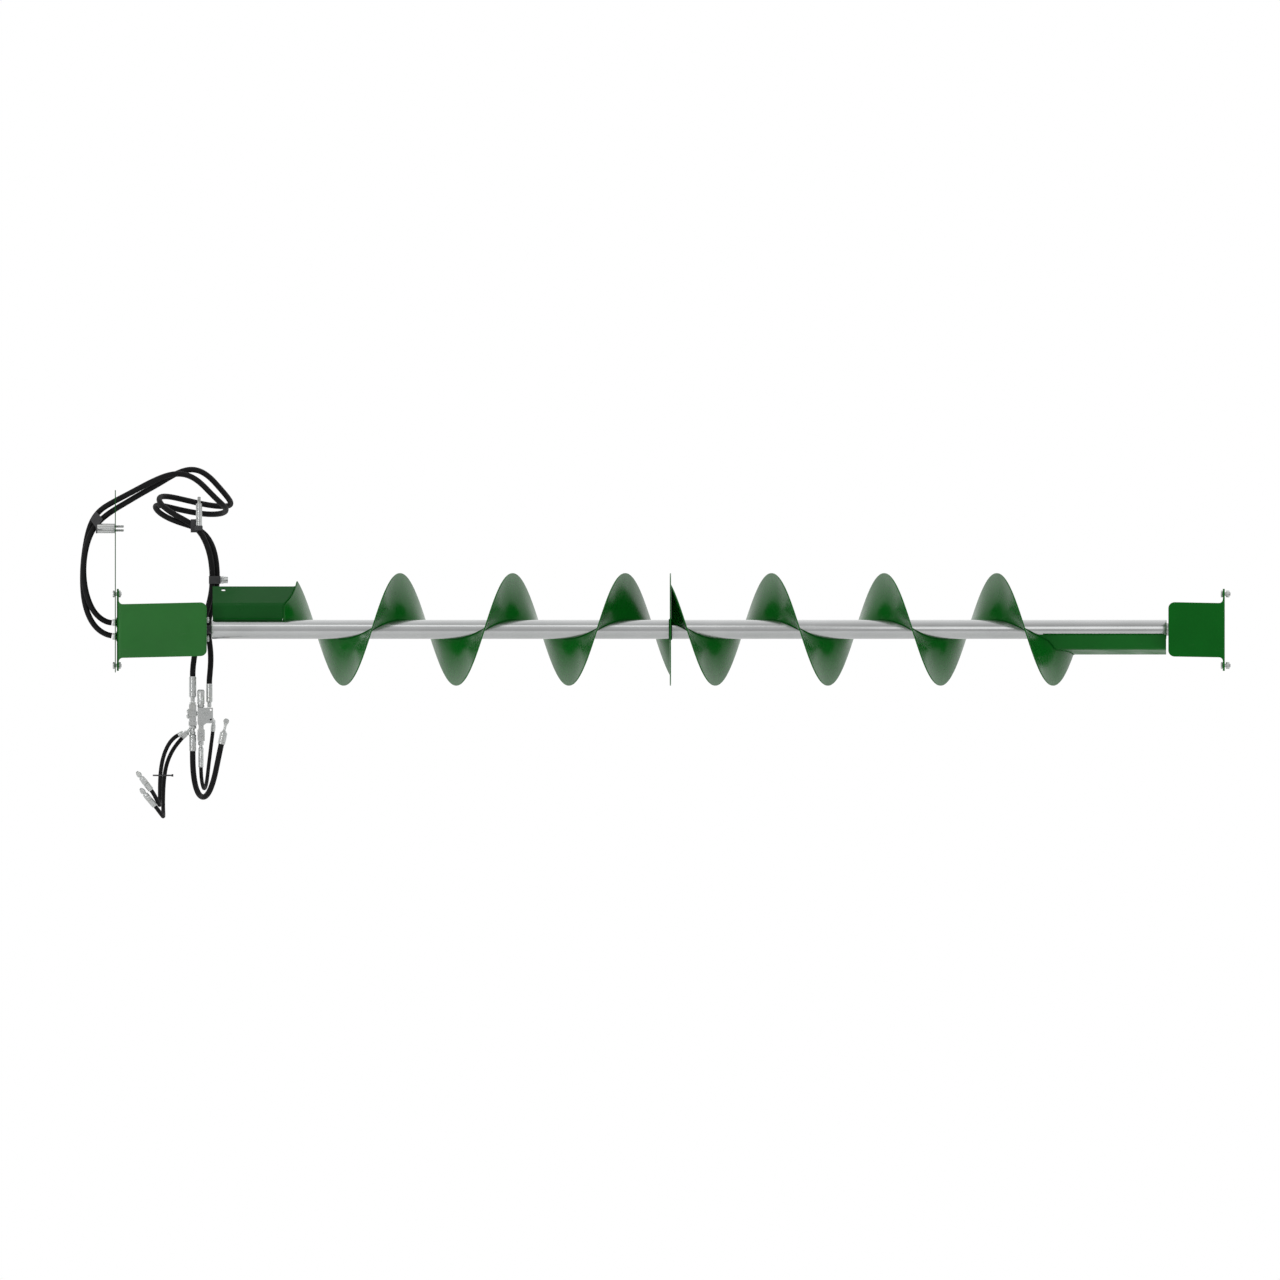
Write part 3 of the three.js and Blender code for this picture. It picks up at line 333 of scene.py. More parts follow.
class Solid:
    """Faces collected for one piece."""

    def __init__(self):
        self.vertices = []
        self.faces = []

    def put(self, vertices, faces):
        start = len(self.vertices)
        self.vertices += [Vector(v) for v in vertices]
        self.faces += [[start + i for i in face] for face in faces]
        return self

    def turned(self, profile, at, along, sides=48):
        """A turned piece. Each step is (radius, distance[, flats, reach]) in millimetres: flats cuts the
        round down to that many sides, whose distance from the axis is reach."""
        u, v = across(along)
        along = along.normalized()
        closed = profile[0] == profile[-1]
        steps = profile[:-1] if closed else profile
        rings, vertices, faces = [], [], []
        for step in steps:
            radius, distance = step[:2]
            centre = Vector(at) + along * distance * MM
            if radius == 0:
                rings.append([len(vertices)] * sides)
                vertices.append(centre)
                continue
            rings.append(list(range(len(vertices), len(vertices) + sides)))
            for k in range(sides):
                angle = 2 * math.pi * k / sides
                reach = radius
                if len(step) == 4:
                    slice_angle = 2 * math.pi / step[2]
                    off = (angle + slice_angle / 2) % slice_angle - slice_angle / 2
                    reach = min(radius, step[3] / math.cos(off))
                vertices.append(centre + (u * math.cos(angle) + v * math.sin(angle)) * reach * MM)
        count = len(rings)
        for i in range(count if closed else count - 1):
            low, high = rings[i], rings[(i + 1) % count]
            for k in range(sides):
                corners = [low[k], low[(k + 1) % sides], high[(k + 1) % sides], high[k]]
                corners = list(dict.fromkeys(corners))
                if len(corners) > 2:
                    faces.append(corners)
        if not closed:
            if steps[0][0] > 0:
                faces.append(rings[0][::-1])
            if steps[-1][0] > 0:
                faces.append(rings[-1])
        return self.put(vertices, faces)

    def prism(self, outline, axes, at, depth):
        """An outline in two directions, carried along the third. All in millimetres but at."""
        a, b, c = axes
        base = [Vector(at) + (a * p + b * q) * MM for p, q in outline]
        count = len(base)
        faces = [list(range(count))[::-1], list(range(count, 2 * count))]
        faces += [[i, (i + 1) % count, count + (i + 1) % count, count + i] for i in range(count)]
        return self.put([*base, *(p + c * depth * MM for p in base)], faces)

    def block(self, low, high):
        low, high = Vector(low), Vector(high)
        size = (high - low) / MM
        return self.prism([(0, 0), (size.x, 0), (size.x, size.y), (0, size.y)], (X, Y, Z), low, size.z)

    def sweep(self, path, radius, sides=8):
        """A round bead or rod along a path. radius takes the point's number, in millimetres."""
        vertices, faces = [], []
        for i, point in enumerate(path):
            ahead = path[min(i + 1, len(path) - 1)] - path[max(i - 1, 0)]
            if i == 0:
                u, _ = across(ahead)
            v = ahead.normalized().cross(u).normalized()
            u = v.cross(ahead.normalized()).normalized()
            for k in range(sides):
                angle = 2 * math.pi * k / sides
                vertices.append(point + (u * math.cos(angle) + v * math.sin(angle)) * radius(i) * MM)
        for i in range(len(path) - 1):
            for k in range(sides):
                near, next_ = i * sides + k, i * sides + (k + 1) % sides
                faces.append([near, next_, next_ + sides, near + sides])
        faces += [list(range(sides))[::-1], list(range(len(vertices) - sides, len(vertices)))]
        return self.put(vertices, faces)

    def mesh(self, name):
        mesh = bpy.data.meshes.new(name)
        mesh.from_pydata(self.vertices, [], self.faces)
        mesh.validate()
        return mesh


def fix_normals(mesh):
    edit = bmesh.new()
    edit.from_mesh(mesh)
    bmesh.ops.remove_doubles(edit, verts=edit.verts, dist=1e-7)
    bmesh.ops.recalc_face_normals(edit, faces=edit.faces)
    edit.to_mesh(mesh)
    edit.free()


def temporary(solid):
    """The solid as an object that a boolean can use."""
    tool = placed("tool", solid.mesh("tool"))
    fix_normals(tool.data)
    return tool


def carved(solid, cuts, keep=None):
    """The solid inside keep, without the cuts, as a mesh."""
    work = temporary(solid)
    tools = []
    wanted = [(keep, "INTERSECT")] if keep else []
    for tool, operation in wanted + [(cut, "DIFFERENCE") for cut in cuts]:
        tools.append(temporary(tool))
        modifier = work.modifiers.new("cut", "BOOLEAN")
        modifier.object = tools[-1]
        modifier.operation = operation
        modifier.solver = "EXACT"
    graph = bpy.context.evaluated_depsgraph_get()
    mesh = bpy.data.meshes.new_from_object(work.evaluated_get(graph))
    for used in [work, *tools]:
        bpy.data.objects.remove(used)
    return mesh


def show(name, shape, node=None, slot=None, body=None, bevel=0.0, sharp=32, material=None):
    """Adds a piece. With a node, it stands for that node and takes its body, slot and own material."""
    mesh = shape if isinstance(shape, bpy.types.Mesh) else shape.mesh(name)
    fix_normals(mesh)
    mesh.shade_smooth()
    mesh.set_sharp_from_angle(angle=math.radians(sharp))
    piece = placed(name, mesh)
    slot = slot or SLOT_OF[node]
    mesh.materials.clear()
    mesh.materials.append(MATERIALS[material or (node if node in MATERIALS else slot)])
    if bevel:
        modifier = piece.modifiers.new("bevel", "BEVEL")
        modifier.width = bevel * MM
        modifier.segments = 2
        modifier.limit_method = "ANGLE"
        modifier.angle_limit = math.radians(35)
        modifier.harden_normals = True
    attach(piece, body or BODY_OF[node])
    if node:
        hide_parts(node)
    return piece


def lathe(name, profile, at, along, sides, node=None, **finish):
    """Adds one turned piece."""
    return show(name, Solid().turned(profile, at, along, sides), node, **finish)


def middle(node):
    low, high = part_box(node)
    return (low + high) / 2


def lengthwise(node):
    """Where a node's axis along X starts, and the node's length in millimetres."""
    low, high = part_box(node)
    centre = (low + high) / 2
    return Vector((low.x, centre.y, centre.z)), (high.x - low.x) / MM


def rounded(corners, steps=8):
    """An outline whose corners (a, b, radius) are rounded."""
    outline = []
    count = len(corners)
    for i, (a, b, radius) in enumerate(corners):
        corner = Vector((a, b))
        if radius == 0:
            outline.append((a, b))
            continue
        before = (Vector(corners[i - 1][:2]) - corner).normalized()
        after = (Vector(corners[(i + 1) % count][:2]) - corner).normalized()
        half = before.angle(after) / 2
        start = corner + before * radius / math.tan(half)
        centre = corner + (before + after).normalized() * radius / math.sin(half)
        first = start - centre
        turn = math.pi - 2 * half
        if before.x * after.y - before.y * after.x > 0:
            turn = -turn
        for k in range(steps + 1):
            sine, cosine = math.sin(turn * k / steps), math.cos(turn * k / steps)
            spun = Vector((first.x * cosine - first.y * sine, first.x * sine + first.y * cosine))
            outline.append(tuple(centre + spun))
    return outline


def round_bar(radius, start, end, sides=40):
    start, end = Vector(start), Vector(end)
    length = (end - start).length / MM
    return Solid().turned([(radius, 0), (radius, length)], start, end - start, sides)


# ---- Rotor ----

PITCH = 0.3556
FLIGHT_RADIUS = 0.1778
FLIGHT_STEPS = 520
SHEET = 0.004
SHEET_GAP = 0.0002
PADDLE = 0.005
PADDLE_HOLE = 7.5
HOLE_FROM_END, HOLE_FROM_BEND = 0.034, 0.03
BEAD_OFFSET = 0.0006
# A place on each helix, and the way in which it winds.
LEFT = {"x": 0.894, "angle": math.radians(90), "turn": -1}
RIGHT = {"x": 2.9565, "angle": math.radians(270), "turn": 1}
# Each paddle's section: its foot, corner and tip as (y, z), and the bend's radius.
LEFT_BEND = ((-5.6, 29.0), (-14.8, 78.0), (66.3, 133.9), 13)
RIGHT_BEND = ((-23.8, -14.0), (2.5, -61.6), (158.0, -77.0), 17)
tube_low, tube_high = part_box("auger_tube")
disc_low, disc_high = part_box("divider_disc")


def helix_x(helix, angle):
    """Where the middle of a flight's sheet stands at an angle."""
    return helix["x"] + helix["turn"] * PITCH * (angle - helix["angle"]) / (2 * math.pi)


def helix_angle(helix, x):
    return helix["angle"] + helix["turn"] * 2 * math.pi * (x - helix["x"]) / PITCH


def half_sheet(radius):
    """Half of a flight's thickness along X, which grows towards the tube."""
    return SHEET / 2 * math.hypot(1, PITCH / (2 * math.pi * radius))


def paddle_section(root, corner, tip, radius):
    """Points along the middle of a paddle's section, in metres of (y, z), close together in its bend."""
    outline = rounded([(*root, 0), (*corner, radius), (*tip, 0)], 12)
    points = [Vector(p) * MM for p in outline]
    dense = []
    for a, b in zip(points, points[1:]):
        pieces = max(1, round((b - a).length / 0.006))
        dense += [a.lerp(b, k / pieces) for k in range(pieces)]
    return [*dense, points[-1]]


def section_angle(section, radius):
    """The angle at which a section, or its straight continuation, passes a radius."""
    reach = section[-1] + (section[-1] - section[-2]).normalized() * 0.1
    line = [*section, reach]
    for a, b in zip(line, line[1:]):
        if b.length >= radius:
            low, high = 0.0, 1.0
            for _ in range(24):
                half = (low + high) / 2
                low, high = (half, high) if a.lerp(b, half).length < radius else (low, half)
            point = a.lerp(b, high)
            return math.atan2(point.y, point.x) % (2 * math.pi)
    return 0.0


def flight(node, helix, section, laps, disc_x):
    """A helical sheet from the paddle to the disc, with a rounded rim."""
    radii = [r * MM for r in (30.3, 38, 46, 54, 62, 70, 78, 86, 96, 108, 122, 138, 154, 168, 176.9)]
    rim = [(FLIGHT_RADIUS, -0.55), (FLIGHT_RADIUS, 0.55)]
    ring = [(r, -1) for r in radii] + rim + [(r, 1) for r in reversed(radii)]
    vertices, faces = [], []
    for i in range(FLIGHT_STEPS + 1):
        for radius, side in ring:
            start = section_angle(section, radius) + 2 * math.pi * laps
            end = helix_angle(helix, disc_x - side * half_sheet(radius))
            angle = start + (end - start) * i / FLIGHT_STEPS
            x = helix_x(helix, angle) + side * half_sheet(radius)
            vertices.append(polar(x, radius, angle))
    count = len(ring)
    for i in range(FLIGHT_STEPS):
        for k in range(count):
            a, b = i * count + k, i * count + (k + 1) % count
            faces.append([a, b, b + count, a + count])
    for base in (0, FLIGHT_STEPS * count):
        for k in range(count // 2 - 1):
            faces.append([base + k, base + k + 1, base + count - 2 - k, base + count - 1 - k])
    show(node.replace("flight", "flight_sheet"), Solid().put(vertices, faces), node, sharp=40)


def bead(name, path, size):
    """A weld bead, rippled along its length."""
    ripple = [size * (1 + 0.1 * math.sin(i * 1.9) + 0.05 * math.sin(i * 0.37)) for i in range(len(path))]
    show(name, Solid().sweep(path, ripple.__getitem__, 7), slot="zinc_plate", body="rotor", material="weld")


def flight_beads(name, helix, first, last):
    """Beads where the flight meets the tube, one on each face."""
    radius = tube_high.z + BEAD_OFFSET
    steps = int(abs(last - first) / math.radians(2.2))
    for side, label in ((-1, "left"), (1, "right")):
        path = []
        for i in range(steps + 1):
            angle = first + (last - first) * i / steps
            x = helix_x(helix, angle) + side * (half_sheet(radius) + BEAD_OFFSET)
            path.append(polar(x, radius, angle))
        bead(f"{name}_bead_{label}", path, 2.1)


def paddle(node, helix, section, laps, end_x):
    """A bent plate from its free end to the flight's face, with a hole near its outer corner."""
    outward = 1 if helix is LEFT else -1
    vertices, faces = [], []
    rows, columns = len(section), 9

    def at(side, i, k):
        return (side * rows + i) * columns + k

    for side in (-1, 1):
        for i, point in enumerate(section):
            along = (section[min(i + 1, rows - 1)] - section[max(i - 1, 0)]).normalized()
            normal = Vector((-along.y, along.x)) * PADDLE / 2 * side
            radius = max(point.length, tube_high.z)
            angle = math.atan2(point.y, point.x) % (2 * math.pi) + 2 * math.pi * laps
            edge = helix_x(helix, angle) - outward * (half_sheet(radius) + BEAD_OFFSET)
            for k in range(columns):
                x = end_x + (edge - end_x) * k / (columns - 1)
                vertices.append((x, point.x + normal.x, point.y + normal.y))
    for i in range(rows - 1):
        for k in range(columns - 1):
            for side in (0, 1):
                a, b = at(side, i, k), at(side, i + 1, k)
                faces.append([a, a + 1, b + 1, b])
        for k in (0, columns - 1):
            faces.append([at(0, i, k), at(0, i + 1, k), at(1, i + 1, k), at(1, i, k)])
    for i in (0, rows - 1):
        for k in range(columns - 1):
            faces.append([at(0, i, k), at(0, i, k + 1), at(1, i, k + 1), at(1, i, k)])
    inner, tip = section[-9], section[-1]
    along = (tip - inner).normalized()
    point = inner + along * HOLE_FROM_BEND
    through = Vector((0, -along.y, along.x)) * 0.02
    centre = Vector((end_x + outward * HOLE_FROM_END, point.x, point.y))
    hole = round_bar(PADDLE_HOLE, centre - through, centre + through)
    mesh = carved(Solid().put(vertices, faces), [hole])
    show(node.replace("paddle", "paddle_plate"), mesh, node, bevel=0.5)
    clear = [i for i in range(rows) if section[i].length > tube_high.z + 0.002]
    for side, label in enumerate(("near", "far")):
        seam = [Vector(vertices[at(side, i, columns - 1)]) + X * outward * SHEET_GAP for i in clear]
        bead(f"{node}_end_bead_{label}", seam, 1.7)


left_section = paddle_section(*LEFT_BEND)
right_section = paddle_section(*RIGHT_BEND)
paddle_low, paddle_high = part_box("left_paddle")[0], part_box("right_paddle")[1]

flight("left_flight", LEFT, left_section, 1, disc_low.x - SHEET_GAP)
flight("right_flight", RIGHT, right_section, 0, disc_high.x + SHEET_GAP)
paddle("left_paddle", LEFT, left_section, 1, paddle_low.x)
paddle("right_paddle", RIGHT, right_section, 0, paddle_high.x)
flight_beads("left_flight", LEFT, math.radians(458), helix_angle(LEFT, disc_low.x - 0.006))
flight_beads("right_flight", RIGHT, math.radians(236), helix_angle(RIGHT, disc_high.x + 0.006))

inner, outer = 26.25, tube_high.z / MM
length = (tube_high.x - tube_low.x) / MM
lathe("tube_shell", [
    (inner, 0), (outer - 1.2, 0), (outer - 0.3, 0.5), (outer, 1.6), (outer, length - 1.6),
    (outer - 0.3, length - 0.5), (outer - 1.2, length), (inner, length), (inner, 0),
], X * tube_low.x, X, 128, "auger_tube")
rim, length = FLIGHT_RADIUS / MM, (disc_high.x - disc_low.x) / MM
lathe("disc_plate", [
    (outer, 0), (rim - 1, 0), (rim, 1), (rim, length - 1), (rim - 1, length), (outer, length), (outer, 0),
], X * disc_low.x, X, 144, "divider_disc")
for label, x in (("left", disc_low.x - 0.0012), ("right", disc_high.x + 0.0012)):
    circle = [polar(x, (outer + 1) * MM, math.radians(3 * k)) for k in range(121)]
    bead(f"disc_bead_{label}", circle, 2.2)
for label, section, start, end in (
    ("left", left_section, paddle_low.x + 0.006, 0.518),
    ("right", right_section, 2.925, paddle_high.x - 0.006),
):
    for side in (-1, 1):
        along = (section[1] - section[0]).normalized()
        normal = Vector((-along.y, along.x)) * side * 0.0032
        foot = next(p + normal for p in section if (p + normal).length > tube_high.z + 0.0004)
        path = [Vector((start + (end - start) * k / 110, foot.x, foot.y)) for k in range(111)]
        bead(f"{label}_paddle_bead_{'near' if side < 0 else 'far'}", path, 2.0)

BORE = 13.0
start, end = (corner.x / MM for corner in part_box("drive_hub"))
lathe("hub_ring", [
    (BORE, start), (25.2, start), (25.9, start + 0.7), (25.9, end), (0, end), (0, 354), (BORE, 354),
    (BORE, start),
], (0, 0, 0), X, 64, "drive_hub")
lathe("shaft_bar", [
    (0, 0), (12.2, 0), (12.7, 0.5), (12.7, 47), (12.4, 47.4), (12.4, 49), (12.7, 49.4), (12.7, 118),
    (10.9, 120), (0, 120),
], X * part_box("motor_shaft")[0].x, X, 64, "motor_shaft")
show("key_bar", Solid().block(*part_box("shaft_key")), "shaft_key", bevel=0.6)

housing_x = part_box("bearing_housing")[0].x
start, end = (corner.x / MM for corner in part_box("stub_shaft"))
face, shoulder = tube_high.x / MM, housing_x / MM - 0.7
lathe("stub_bar", [
    (0, start), (25.0, start), (25.9, start + 1), (25.9, face - 0.6), (24.5, face - 0.1),
    (20.0, face + 0.4), (20.0, shoulder - 0.8), (19.4, shoulder), (12.7, shoulder), (12.7, end - 2),
    (10.8, end), (3, end), (1.4, end - 2.4), (0, end - 3.2),
], (0, 0, 0), X, 64, "stub_shaft")
ring_low, ring_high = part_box("bearing_inner_ring")
lathe("inner_ring", [
    (BORE, 0), (17.8, 0), (18.2, 0.4), (18.2, 27.8), (19.0, 28.4), (19.0, 36.8), (18.2, 37.6), (BORE, 37.6),
    (BORE, 0),
], X * ring_low.x, X, 64, "bearing_inner_ring")
for k in range(2):
    spun = Matrix.Rotation(math.radians(40 + 120 * k), 3, "X")
    seat = spun @ Vector((0, 0, 0.0188)) + X * (ring_high.x - 0.0045)
    screw = [(0, 0), (2.4, 0), (2.4, 0.5), (2.1, 0.8), (1.3, 0.8, 6, 1.2), (1.3, 0.2, 6, 1.2), (0, 0.2)]
    lathe(f"set_screw_{k + 1}", screw, seat, spun @ Z, 30, slot="black_steel", body="rotor")

# ---- Bolts ----


def hexagon_steps(flats, low, high, washer=0.0):
    """A hexagon with turned corners, as steps of a profile. flats is its distance across flats."""
    reach = flats / 2
    limit = reach / math.cos(math.pi / 6)
    foot = [(reach * 0.98, low)]
    if washer:
        foot = [(washer, low), (washer, low + 0.6), (reach * 0.98, low + 0.6)]
    return [*foot, (limit, low + 1.4, 6, reach), (limit, high - 1.2, 6, reach), (reach * 0.96, high)]


def thread(radius, low, high, pitch=1.5):
    """Ridges of a thread, as steps of a profile."""
    steps, root = [], radius - 0.75
    count = max(1, int((high - low) / pitch))
    for k in range(count):
        start = low + k * pitch
        steps += [(root, start + 0.1), (radius, start + pitch * 0.4), (radius, start + pitch * 0.6)]
    return [*steps, (root, high - 0.6), (radius - 1.6, high)]


def wall_bolt(node, nut_from, nut_to):
    """Bolt and nut as one piece, with the head towards -X. The nut's place is counted from the head."""
    at, length = lengthwise(node)
    lathe(node + "_set", [
        (0, 0), *hexagon_steps(19, 0, 6.4), (5.9, 6.4), (5.9, nut_from),
        *hexagon_steps(19, nut_from, nut_to), (6.6, nut_to), (5.9, nut_to + 0.4),
        *thread(5.9, nut_to + 0.4, length), (0, length),
    ], at, X, 60, node)


for k in range(1, 5):
    wall_bolt(f"drive_wall_bolt_{k}", 19.4, 25.9)
    wall_bolt(f"idler_wall_bolt_{k}", 16.1, 27.9)


def cap_screw(node, head_from):
    """A hexagon head on a shank, with the head and its washer face towards +X."""
    at, length = lengthwise(node)
    lathe(node + "_screw", [
        (0, 0), (3.6, 0), (4.9, 1.2), (4.9, head_from), (9.7, head_from), (9.7, head_from + 0.8),
        *hexagon_steps(16.8, head_from + 0.8, length), (0, length),
    ], at, X, 60, node)


for k in range(1, 5):
    cap_screw(f"motor_bolt_{k}", 21.2)
for k in (1, 2):
    cap_screw(f"bearing_bolt_{k}", 19.9)

# ---- Brackets and support plate ----

WALL_BOLTS = [(y, z) for y in (-66, 66) for z in (-114, 112)]
MOTOR_BOLTS = [(y, z) for y in (-29.2, 29.2) for z in (-29.2, 29.2)]
PORTS = (22, -22)


def bent_bracket(node, depth, tops, bottoms, holes, flip):
    """A plate bent into a C, cut to the outline of its web, drilled, and turned round for the far wall."""
    plan = rounded([
        (0, 92, 0), (0, -92, 12), (depth, -92, 9), (depth, 66, 0), (depth - 6, 66, 0), (depth - 6, -86, 3),
        (6, -86, 6), (6, 92, 0),
    ])
    outline = rounded([
        (-5, 133, 0), (-5, -136, 0), (6.3, -136, 0), (6.3, bottoms[0], 12), (depth + 0.1, bottoms[1], 20),
        (depth + 0.1, tops[1], 20), (6.3, tops[0], 12), (6.3, 133, 0),
    ])
    shell = Solid().prism(plan, (X, Y, Z), (0, 0, -0.131), 259)
    keep = Solid().prism(outline, (X, Z, -Y), (0, 0.11, 0), 220)
    cuts = [round_bar(6.8, (-0.01, y * MM, z * MM), (0.012, y * MM, z * MM)) for y, z in WALL_BOLTS]
    cuts += [round_bar(r, ((depth - 12) * MM, y * MM, z * MM), ((depth + 4) * MM, y * MM, z * MM), 64)
             for y, z, r in holes]
    if not flip:
        cuts += [round_bar(13, (-0.01, 0, z * MM), (0.012, 0, z * MM), 56) for z in PORTS]
    mesh = carved(shell, cuts, keep)
    if flip:
        mesh.transform(Matrix.Translation((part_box(node)[1].x, 0, 0)) @ Matrix.Scale(-1, 4, X))
    show(node + "_plate", mesh, node, bevel=0.7)


bent_bracket(
    "motor_bracket", 284, (79.6, 85.8), (-90.3, -84.0),
    [(0, 0, 22.7), *((y, z, 5.9) for y, z in MOTOR_BOLTS)], False,
)
bearing_low, bearing_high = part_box("bearing_bracket")
bent_bracket(
    "bearing_bracket", (bearing_high.x - bearing_low.x) / MM, (83.1, 86.4), (-88.5, -85.5),
    [(0, 0, 23), (0, 49.5, 5.4), (0, -49.5, 5.4)], True,
)
for k, z in enumerate(PORTS):
    collar = [(13, -2), (14.9, -2), (15.5, -1.4), (15.5, 0.5), (13, 0.5), (13, -2)]
    lathe(f"port_collar_{k + 1}", collar, (0, 0, z * MM), X, 56, slot="green_bracket_paint", body="frame")

support_low, support_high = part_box("hose_support_plate")
support_outline = rounded([
    (-90, -136, 12), (90, -136, 12), (90, 136, 30), (46, 190, 30), (46, 440, 10), (-46, 440, 10),
    (-46, 190, 30), (-90, 136, 30),
])
thickness = (support_high.x - support_low.x) / MM
support = Solid().prism(support_outline, (Y, Z, X), X * support_low.x, thickness)
window_outline = rounded([(-24, 354, 8), (32, 354, 8), (32, 430, 8), (-24, 430, 8)])
window = Solid().prism(window_outline, (Y, Z, X), X * (support_low.x - 0.003), 9)
through = [(0, z, 15) for z in PORTS] + [(y, z, 6.8) for y, z in WALL_BOLTS]
through += [(-24, 325, 4.4), (24, 312.5, 4.4)]
holes = [round_bar(r, (-0.01, y * MM, z * MM), (0, y * MM, z * MM)) for y, z, r in through]
show("support_plate", carved(support, [window, *holes]), "hose_support_plate", bevel=0.5)

# ---- Motor ----

front_low, front_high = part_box("motor_front_housing")
flange_at = front_high.x - 0.0193
flange_outline = rounded([(-42.2, -42.2, 12), (42.2, -42.2, 12), (42.2, 42.2, 12), (-42.2, 42.2, 12)])
front = Solid().prism(flange_outline, (Y, Z, X), X * flange_at, 14)
front.turned(
    [
        (13, 0.2), (37.5, 0.2), (38, 0.7), (38, 14), (35, 18), (34, 24), (34, 30), (37, 36), (39, 39.6),
        (39, 53.3), (22.2, 53.3), (22.2, 57.6), (21.2, 58.6), (18.5, 58.6), (18.5, 57.4), (13, 57.4),
        (13, 0.2),
    ],
    X * front_low.x, X, 72,
)
rib = Solid().block((front_low.x + 0.014, -0.003, 0.03), (flange_at + 0.001, 0.003, 0.0405))
for k in range(4):
    spoke = Matrix.Rotation(math.radians(90 * k), 3, "X")
    front.put([spoke @ v for v in rib.vertices], rib.faces)
show("front_casting", front, "motor_front_housing", bevel=0.6)
lathe("gear_ring", [
    (0, 0), (41, 0), (41.6, 0.6), (42, 1.4), (42, 10.5), (41.3, 11.2), (41.3, 11.9), (42, 12.6), (42, 24.6),
    (41.4, 25.6), (0, 26),
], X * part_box("motor_gear_section")[0].x, X, 96, "motor_gear_section")
cover_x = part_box("motor_end_cover")[0].x
cover = Solid().turned(
    [(0, 12), (36, 12), (39.5, 13.5), (42, 17), (42, 58.6), (41, 59.7), (0, 59.7)], X * cover_x, X, 96
)
for z in PORTS:
    cover.turned([
        (9.2, 0), (14.6, 0), (15.4, 0.6), (16, 3), (16, 10), (18, 14.5), (9.2, 14.5), (9.2, 0),
    ], (cover_x, 0, z * MM), X, 56)
for k in range(7):
    at = polar(cover_x + 0.0078, 0.0345, 2 * math.pi * (k + 0.5) / 7)
    head = [(r, 5 - d, *rest) for r, d, *rest in reversed(hexagon_steps(9, 0, 5, 5.3))]
    cover.turned([(0, 0), *head, (0, 5)], at, X, 36)
show("end_casting", cover, "motor_end_cover", bevel=0.4)

for label, z in zip("ab", PORTS):
    node = f"motor_fitting_{label}"
    lathe(f"straight_fitting_{label}", [
        (0, -10), (8.4, -10), (8.4, 0.4), (11.6, 0.6), (11.6, 1.4), (13.2, 1.4), (15.4, 3, 6, 13.3),
        (15.4, 16.4, 6, 13.3), (13, 17.8), (10, 18.2), (9.2, 20), (7.5, 21), (7.5, 99), (8.2, 100),
        (8.2, 103), (9.8, 104), (11, 106), (11, 130), (10.4, 131), (10.4, 133), (11, 134), (11, 150),
        (10.2, 152), (0, 152),
    ], (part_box(node)[1].x - 0.01, 0, z * MM), -X, 64, node)

# ---- Bearing ----

BEARING_BOLTS = (0.0495, -0.0495)
ears = [(-14, -65, 14), (14, -65, 14), (34, 0, 34), (14, 65, 14), (-14, 65, 14), (-34, 0, 34)]
base = Solid().prism(rounded(ears, 14), (Y, Z, X), X * housing_x, 12)
cuts = [round_bar(19.5, (housing_x - 0.01, 0, 0), (housing_x + 0.04, 0, 0), 64)]
cuts += [round_bar(5.4, (housing_x - 0.01, 0, z), (housing_x + 0.04, 0, z)) for z in BEARING_BOLTS]
show("bearing_flange", carved(base, cuts), "bearing_housing", bevel=0.8)
dome = Solid().turned([
    (19.5, 2), (31.9, 2), (31.9, 17), (31.2, 21), (29.5, 24.6), (26.8, 27.2), (25.6, 27.8), (24.4, 27.8),
    (23.8, 26.4), (20.4, 26.4), (20, 25.4), (19.5, 25.4), (19.5, 2),
], X * housing_x, X, 80)
for z in BEARING_BOLTS:
    boss = [(5.4, 11.5), (12.6, 11.5), (12.6, 13.6), (12, 14), (5.4, 14), (5.4, 11.5)]
    dome.turned(boss, (housing_x, 0, z), X, 40)
show("bearing_dome", dome, slot="cast_iron", body="frame", bevel=0.3)
lathe("grease_nipple", [
    (0, 0), (3.6, 0), (4, 0.6, 6, 3.6), (4, 3.6, 6, 3.6), (2.2, 4.2), (1.8, 6), (2.6, 7), (2.6, 8.2),
    (1.8, 9.4), (1.2, 9.6), (0, 9.2),
], (housing_x + 0.019, 0.022, 0.0215), Vector((0.2, 0.7, 0.7)), 36, slot="zinc_plate", body="frame")

# ---- Hoses ----


def hose(name):
    """Adds a hose along its route, from the route's first point."""
    points, diameter = HOSES[name]
    line = spline(points)
    curve = bpy.data.curves.new(name + "_line", "CURVE")
    curve.dimensions = "3D"
    curve.bevel_depth = diameter / 2
    curve.bevel_resolution = 7
    curve.use_fill_caps = True
    strand = curve.splines.new("POLY")
    strand.points.add(len(line) - 1)
    for point, place in zip(strand.points, line):
        point.co = (*place, 1)
    strand.use_smooth = True
    curve.materials.append(MATERIALS["hose_rubber"])
    piece = placed(name + "_tube", curve)
    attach(piece, BODY_OF[name])
    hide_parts(name)
    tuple(points[0])


def fat_hose(points, diameter, low, high):
    """The stretch of a hose inside a box, a little fat, for cutting its seat in a clamp."""
    inside = [p for p in spline(points, 6) if all(low[i] < p[i] < high[i] for i in range(3))]
    return Solid().sweep(inside, lambda i: diameter / 2 / MM + 0.15, 28)


def clamp(node, shape, bevel=0.8):
    """A moulded block with the two hoses' seats in it."""
    low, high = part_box(node)
    margin = Vector((0.03,) * 3)
    seats = [fat_hose(*HOSES[f"motor_hose_{label}"], low - margin, high + margin) for label in "ab"]
    show(node + "_block", carved(shape, seats), node, bevel=bevel)


